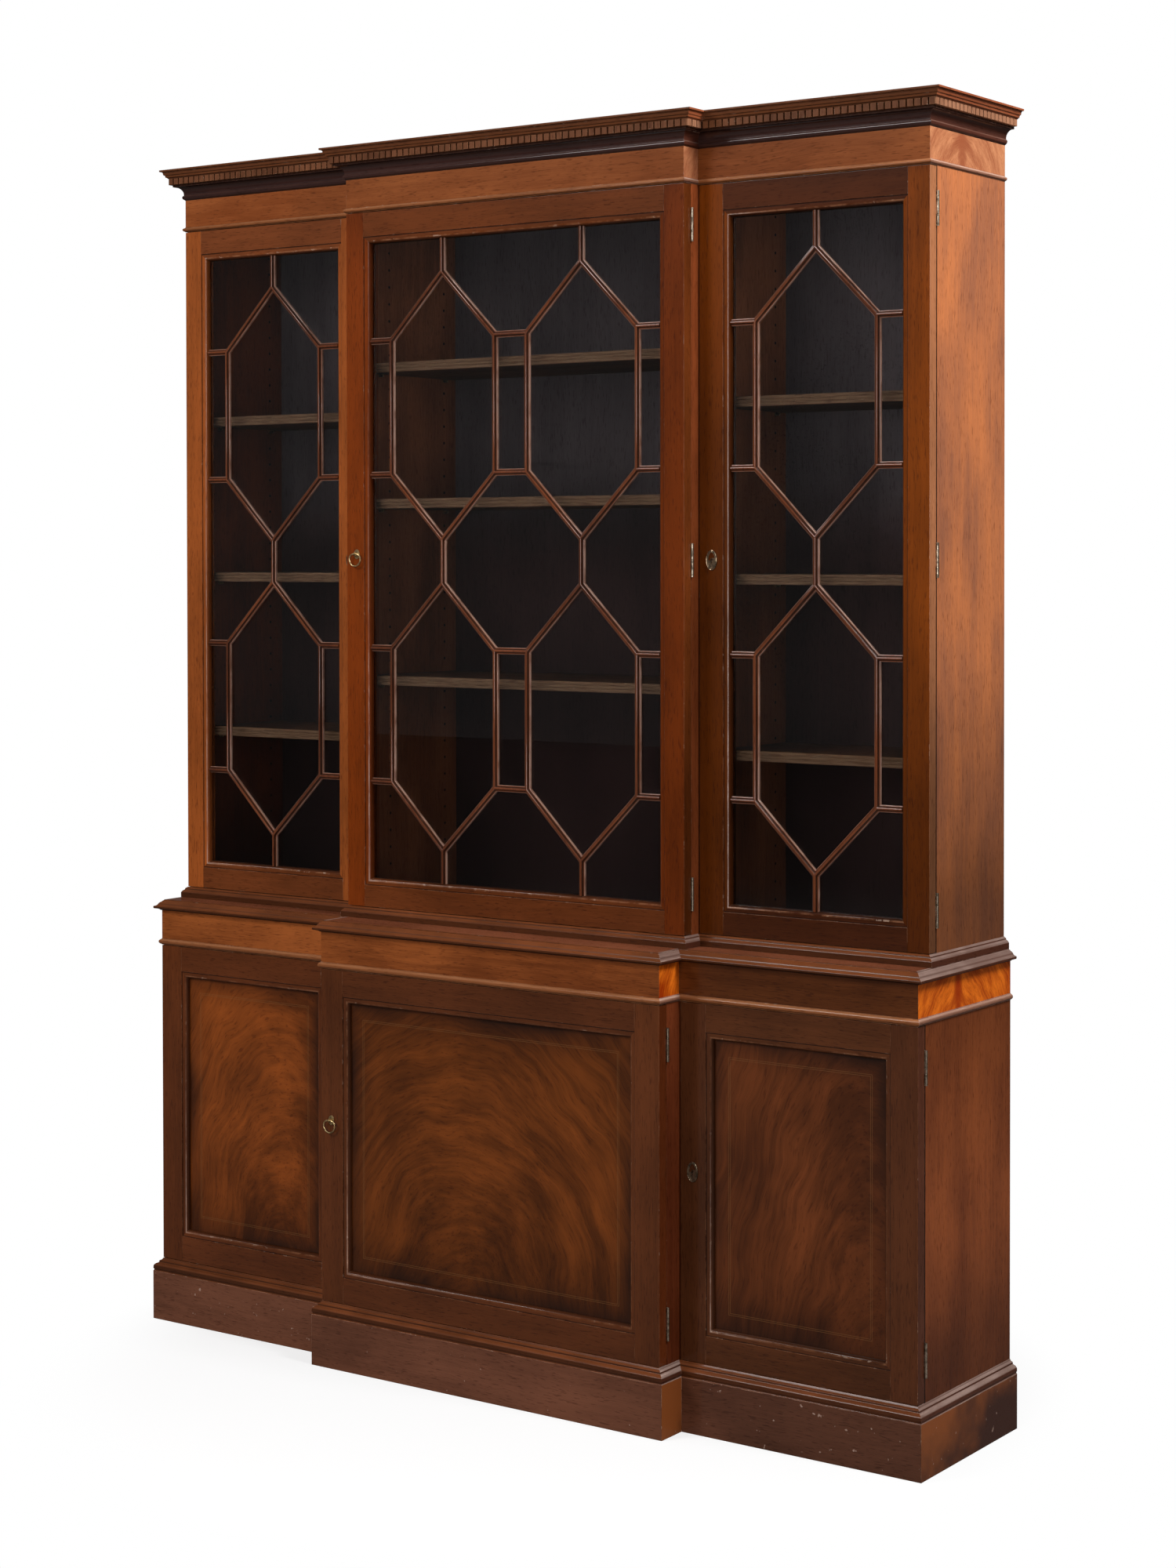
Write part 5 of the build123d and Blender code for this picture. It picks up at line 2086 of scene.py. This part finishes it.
@dataclass(frozen=True)
class Bookcase:
    """The whole piece: base, case, doors, fittings and mouldings."""

    hinges: ButtHinges = ButtHinges()
    lock: Lock = Lock()
    pull: DropPull = DropPull()
    lattice: Lattice = Lattice()
    base_frame: DoorFrame = DoorFrame(
        stile=51 * MM, lock_stile=51 * MM, top_rail=48 * MM, bottom_rail=48 * MM,
        setback=10.5 * MM, infill=8 * MM,
    )
    case_frame: DoorFrame = DoorFrame(
        stile=41 * MM, lock_stile=48 * MM, top_rail=45 * MM, bottom_rail=40 * MM,
        setback=12.5 * MM, infill=3 * MM,
    )
    front_pegs: float = 57 * MM
    back_pegs: float = 44 * MM
    door_room: float = 24 * MM
    skin: float = 1 * MM
    seam_share: float = 0.42
    brass: BrassFinish = BrassFinish("aged brass", tint(0.80, 0.58, 0.28), tint(0.085, 0.055, 0.035), 0.75)
    bronzed: BrassFinish = BrassFinish("dark brass", tint(0.34, 0.25, 0.16), tint(0.06, 0.044, 0.03), 0.9)
    steel: BrassFinish = BrassFinish("hinge metal", tint(0.62, 0.53, 0.41), tint(0.12, 0.09, 0.06), 0.85)
    # Near black in the keyhole: painted shade of the hole
    hollow: BrassFinish = BrassFinish("keyhole dark", tint(0.004, 0.003, 0.002), tint(0.002, 0.001, 0.001), 1)

    def build(self) -> None:
        """Build and dress everything."""
        for storey in Storey:
            plan = Plan.of(storey)
            self.build_mouldings(storey, plan)
            self.dress_carcass(storey, plan)
            for section in Section:
                self.build_door(DoorPlace(storey, section))
            self.pull.build_plate(storey, self.brass)
            self.pull.build_drop(storey, self.brass)
        self.build_fixed_leaves()
        dress(self.brass, "shelf_pegs", "door_catches")

    def build_mouldings(self, storey: Storey, plan: Plan) -> None:
        """Run the storey's mouldings.

        Args:
            storey: the storey.
            plan: its stepped front.
        """
        for moulding in MOULDINGS[storey]:
            moulding.build(plan, moulding.tones.finishes())
        if storey is Storey.CASE:
            worn_and_highlight = tint(0.4, 0.2, 0.1)
            # The blocks' fronts and sides are a shaded and a lit copy of one wood: painted light
            front = tint(0.075, 0.025, 0.010), tint(0.165, 0.060, 0.026)
            side = tint(0.19, 0.082, 0.043), tint(0.34, 0.155, 0.085)
            # The bed's near black is painted shade between and under the blocks
            bed = tint(0.015, 0.005, 0.003), tint(0.04, 0.014, 0.007)
            blocks = WoodFinish("dentil", *front, wear=0.7, worn_and_highlight=worn_and_highlight)
            end_blocks = WoodFinish("dentil side", *side, wear=0.2, worn_and_highlight=worn_and_highlight)
            ground = WoodFinish("dentil bed", *bed, Grain.ALONG_X, wear=0.0)
            DentilBand().build(plan, [ground, ground, blocks, end_blocks])

    def dress_carcass(self, storey: Storey, plan: Plan) -> None:
        """Finish the sides, boards, shelves and backs.

        Args:
            storey: the storey.
            plan: its stepped front.
        """
        name, tones = storey.value, CARCASS_TONES[storey]
        pegs = {"front": plan.wing + self.front_pegs, "back": plan.back - self.back_pegs}
        side = SideFinish(
            f"{name} side", *tones.side, contrast=1.05, seed=5.0, painted_shading=tones.side_painted_shading,
            outer=plan.half - self.skin, inner_tone=tint(0.30, 0.24, 0.3),
            joint=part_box(f"{name}_outer_sides")[0].y, **pegs,
        )
        dress(side, f"{name}_outer_sides")
        partition = SideFinish(
            f"{name} partition", *tones.partition, contrast=0.9, seed=6.0, painted_shading=tones.partition_painted_shading,
            outer=plan.half, within=plan.wing + self.door_room, inner_tone=tint(1.25, 1.75, 2.7), **pegs,
        )
        dress(partition, f"{name}_partitions")
        # Painted shade and light on the lining: darker toward the foot, lighter on the right
        shade = (DOWN, -1.72, -1.5, 0.42), (DOWN, -1.4, -1.15, 0.75), (RIGHTWARD, 0.40, 0.48, 1.3)
        lining = LiningFinish(
            "dark lining", tint(0.045, 0.034, 0.036), tint(0.125, 0.100, 0.105), contrast=0.5, seed=7.0,
            coat=0.0, dull=0.3, painted_shading=shade,
        )
        dress(lining, f"{name}_back_panels")
        dark, light = tint(0.03, 0.012, 0.006), tint(0.09, 0.035, 0.018)
        board = WoodFinish("inner board", dark, light, Grain.ALONG_X, seed=8.0, coat=0.1)
        dress(board, f"{name}_level_boards")
        dark, light = tint(0.05, 0.02, 0.01), tint(0.12, 0.05, 0.026)
        shelf = ShelfFinish("shelf", dark, light, Grain.ALONG_X, seed=9.0, coat=0.1)
        of_case = [f"case_shelves_{section.value}" for section in Section]
        dress(shelf, *(of_case if storey is Storey.CASE else ["base_shelves"]))
        frieze = FriezeFinish(
            f"{name} frieze", *tones.frieze, Grain.ALONG_X, contrast=0.9, seed=10.0, painted_shading=tones.frieze_painted_shading,
            end_dark=tones.frieze_ends[0], end_light=tones.frieze_ends[1],
            seam=plan.wing + (plan.back - plan.wing) * self.seam_share, heart=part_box(f"{name}_frieze")[0].z,
        )
        dress(frieze, f"{name}_frieze")
        if storey is Storey.BASE:
            dark, light = tint(0.10, 0.026, 0.011), tint(0.26, 0.08, 0.036)
            top = WoodFinish("base top", dark, light, Grain.ALONG_X, contrast=0.9, seed=11.0, coat=0.7)
            dress(top, "base_top")
            # Painted shade: the plinth darker toward the right
            plinth = PlinthFinish(
                "plinth", tint(0.07, 0.024, 0.012), tint(0.17, 0.062, 0.033), Grain.ALONG_X, contrast=0.8,
                seed=12.0, wear=0.7, worn_and_highlight=tint(0.42, 0.24, 0.16), ease=1.6 * MM,
                painted_shading=((RIGHTWARD, 0.2, 0.6, 0.58),),
            )
            dress(plinth, "plinth_boards")

    def build_door(self, door: DoorPlace) -> None:
        """Build one door and its fittings.

        Args:
            door: the door.
        """
        is_case = door.storey is Storey.CASE
        rail, stile = STILE_TONES[door.storey, door.section]
        edge = EDGE_TONES[door.storey, door.section]
        painted_shading = STILE_PAINTED_SHADING.get((door.storey, door.section), ())
        # Painted shade: the case doors' hinged edges darker toward the foot
        painted_shade = ((DOWN, -1.5, -1.0, 0.35),) if is_case else ()
        figure = {"contrast": 0.9, "seed": 13.0 + rail[0] * 100}
        rails = FrameFinish(f"{door.name} rail", *shades(rail), Grain.ALONG_X, **figure)
        figure = {"contrast": 0.9, "seed": 14.0 + stile[0] * 100, "painted_shading": painted_shading}
        stiles = FrameFinish(f"{door.name} stile", *shades(stile), **figure)
        figure = {"contrast": 0.9, "seed": 17.0, "wear": 0.5, "painted_shading": painted_shade}
        finishes = [rails, stiles, WoodFinish(f"{door.name} edge", *shades(edge), **figure)]
        sizes = self.case_frame if is_case else self.base_frame
        sizes.build(door, finishes)
        if is_case:
            specks = 0.6 if door.section is Section.RIGHT else 0.15
            dress(GlassFinish(f"{door.section.value} pane", specks=specks), f"{door.name}_glass")
            bars = BarFinish(
                "glazing bar", tint(0.06, 0.015, 0.005), tint(0.15, 0.040, 0.013), wear=0.15, ease=0.5 * MM,
                worn_and_highlight=tint(0.34, 0.20, 0.15), coat=0.8, gloss=0.14,
            )
            self.lattice.build(door, sizes, bars)
        else:
            self.dress_panel(door, sizes)
        self.build_door_leaves(door)
        if door.section is not Section.CENTRE:
            self.lock.build(door, [self.bronzed, self.hollow])
            dress(self.brass, f"{door.name}_bolt")

    def dress_panel(self, door: DoorPlace, sizes: DoorFrame) -> None:
        """Finish a base door's panel.

        Args:
            door: the door.
            sizes: the frame round it.
        """
        left, right, low, high = sizes.opening(door)
        inner = sizes.sticking
        half = (right - left) / 2 - inner, 1.0, (high - low) / 2 - inner
        x, y, z = middle = (left + right) / 2, door.corners[0].y, (low + high) / 2
        figure = PANEL_FIGURES[door.section]
        # Painted shade: the panel darker toward its foot
        panel = PanelFinish(
            f"{door.section.value} panel", *shades(figure.mean, 0.5), seed=2.0 + x, wear=0.0,
            focus=(x + figure.aside, y, z + figure.drop), arch=figure.arch, lean=figure.lean, centre=middle,
            half=half, painted_shading=((DOWN, -0.42, -0.16, 0.5),),
        )
        dress(panel, f"{door.name}_panel")

    def build_door_leaves(self, door: DoorPlace) -> None:
        """Make the hinge leaves that are let into a door.

        Args:
            door: the door.
        """
        bm = bmesh.new()
        self.hinges.add(bm, door, False)
        make_piece(bm, f"{door.name}_butts", door.name, [self.steel], [f"{door.name}_hinge_leaves"])

    def build_fixed_leaves(self) -> None:
        """Make the hinge leaves that are let into the carcass."""
        bm = bmesh.new()
        for storey in Storey:
            for section in Section:
                self.hinges.add(bm, DoorPlace(storey, section), True)
        make_piece(bm, "carcass_butts", "carcass", [self.steel], ["fixed_hinge_leaves"])


# Each moulding's sides are lighter than its fronts, with stronger highlights on faces that look up: painted
# light and painted highlights
RUN = Tones(
    "moulding", (tint(0.032, 0.009, 0.003), tint(0.080, 0.023, 0.007)),
    (tint(0.05, 0.015, 0.008), tint(0.11, 0.035, 0.018)),
    (tint(0.32, 0.09, 0.028), tint(0.46, 0.33, 0.28)), (0.33, 0.65), 0.3,
)
ROUNDS = Tones(
    "bead", (tint(0.12, 0.038, 0.012), tint(0.27, 0.09, 0.03)),
    (tint(0.18, 0.075, 0.045), tint(0.34, 0.16, 0.10)),
    (tint(0.46, 0.21, 0.10), tint(0.62, 0.42, 0.33)), (0.35, 0.7),
)
HOLLOW = Tones(
    "cove", (tint(0.019, 0.008, 0.007), tint(0.046, 0.017, 0.013)),
    (tint(0.05, 0.015, 0.009), tint(0.12, 0.035, 0.02)),
    (tint(0.20, 0.09, 0.06), tint(0.34, 0.20, 0.15)), (0.1, 0.35), 0.65,
)
CROWN = Tones(
    "crown", (tint(0.07, 0.022, 0.008), tint(0.15, 0.048, 0.017)),
    (tint(0.16, 0.042, 0.016), tint(0.36, 0.10, 0.04)),
    (tint(0.34, 0.11, 0.04), tint(0.55, 0.20, 0.08)), (0.3, 0.5),
)
BEAD = ((0.15, 0.0, 0), (0.15, 0.1, 0), (1.0, 0.5, 0.1), (0.15, 0.9, 0.1), (0.15, 1.0, 0))

# Each moulding's node, projection and backing, and its section in shares: of the projection out, of the
# height up, and of the height for the outward bulge of the stretch before
MOULDINGS = {
    Storey.BASE: (
        Moulding("plinth_moulding", 14 * MM, 22 * MM, (
            (1.0, 0.0, 0), (0.9, 0.12, -0.02), (0.98, 0.30, 0.03), (0.94, 0.45, 0.012), (0.72, 0.58, 0.01),
            (0.55, 0.62, 0), (0.42, 0.74, -0.03), (0.3, 0.82, 0.02), (0.08, 0.93, -0.02), (0.0, 1.0, 0),
        ), RUN),
        Moulding("base_frieze_bead", 5 * MM, 22 * MM, BEAD, ROUNDS),
        Moulding("base_top_moulding", 12 * MM, 7.9 * MM, (
            (0.14, 0.0, 0), (0.83, 0.17, -0.05), (1.0, 0.25, 0.02), (1.0, 0.34, 0), (0.89, 0.42, 0.02),
            (0.45, 0.6, -0.04), (0.08, 0.8, 0.03), (-0.04, 0.88, 0), (-0.23, 0.95, 0), (-0.23, 1.0, 0),
        ), RUN),
    ),
    Storey.CASE: (
        Moulding("waist_moulding", 10 * MM, 22 * MM, (
            (1.0, 0.0, 0), (1.0, 0.4, 0), (0.9, 0.55, 0.02), (0.68, 0.68, 0.01), (0.42, 0.86, -0.04),
            (0.05, 1.0, 0),
        ), RUN),
        Moulding("case_frieze_bead", 4.5 * MM, 22 * MM, BEAD, ROUNDS),
        Moulding("cornice_cove", 17.5 * MM, 20 * MM, (
            (0.0, 0.0, 0), (0.14, 0.08, 0), (0.25, 0.2, 0.02), (0.22, 0.32, 0.02), (0.13, 0.38, 0),
            (0.69, 0.97, -0.12), (1.0, 0.98, 0), (1.0, 1.0, 0),
        ), HOLLOW),
        Moulding("cornice_crown", 36 * MM, 20 * MM, (
            (0.66, 0.0, 0), (0.68, 0.06, 0), (0.76, 0.14, -0.02), (0.78, 0.36, 0), (0.83, 0.4, 0),
            (0.86, 0.66, 0.02), (0.89, 0.72, -0.01), (0.89, 0.78, 0), (1.0, 0.8, 0), (1.0, 1.0, 0),
        ), CROWN),
    ),
}


def main() -> None:
    """Build the view and the bookcase."""
    logging.basicConfig(level=logging.INFO, format="%(message)s")
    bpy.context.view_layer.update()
    Studio().build()
    Bookcase().build()
    bpy.context.scene.view_settings.view_transform = "Standard"
    bpy.context.view_layer.update()


if __name__ == "__main__":
    main()
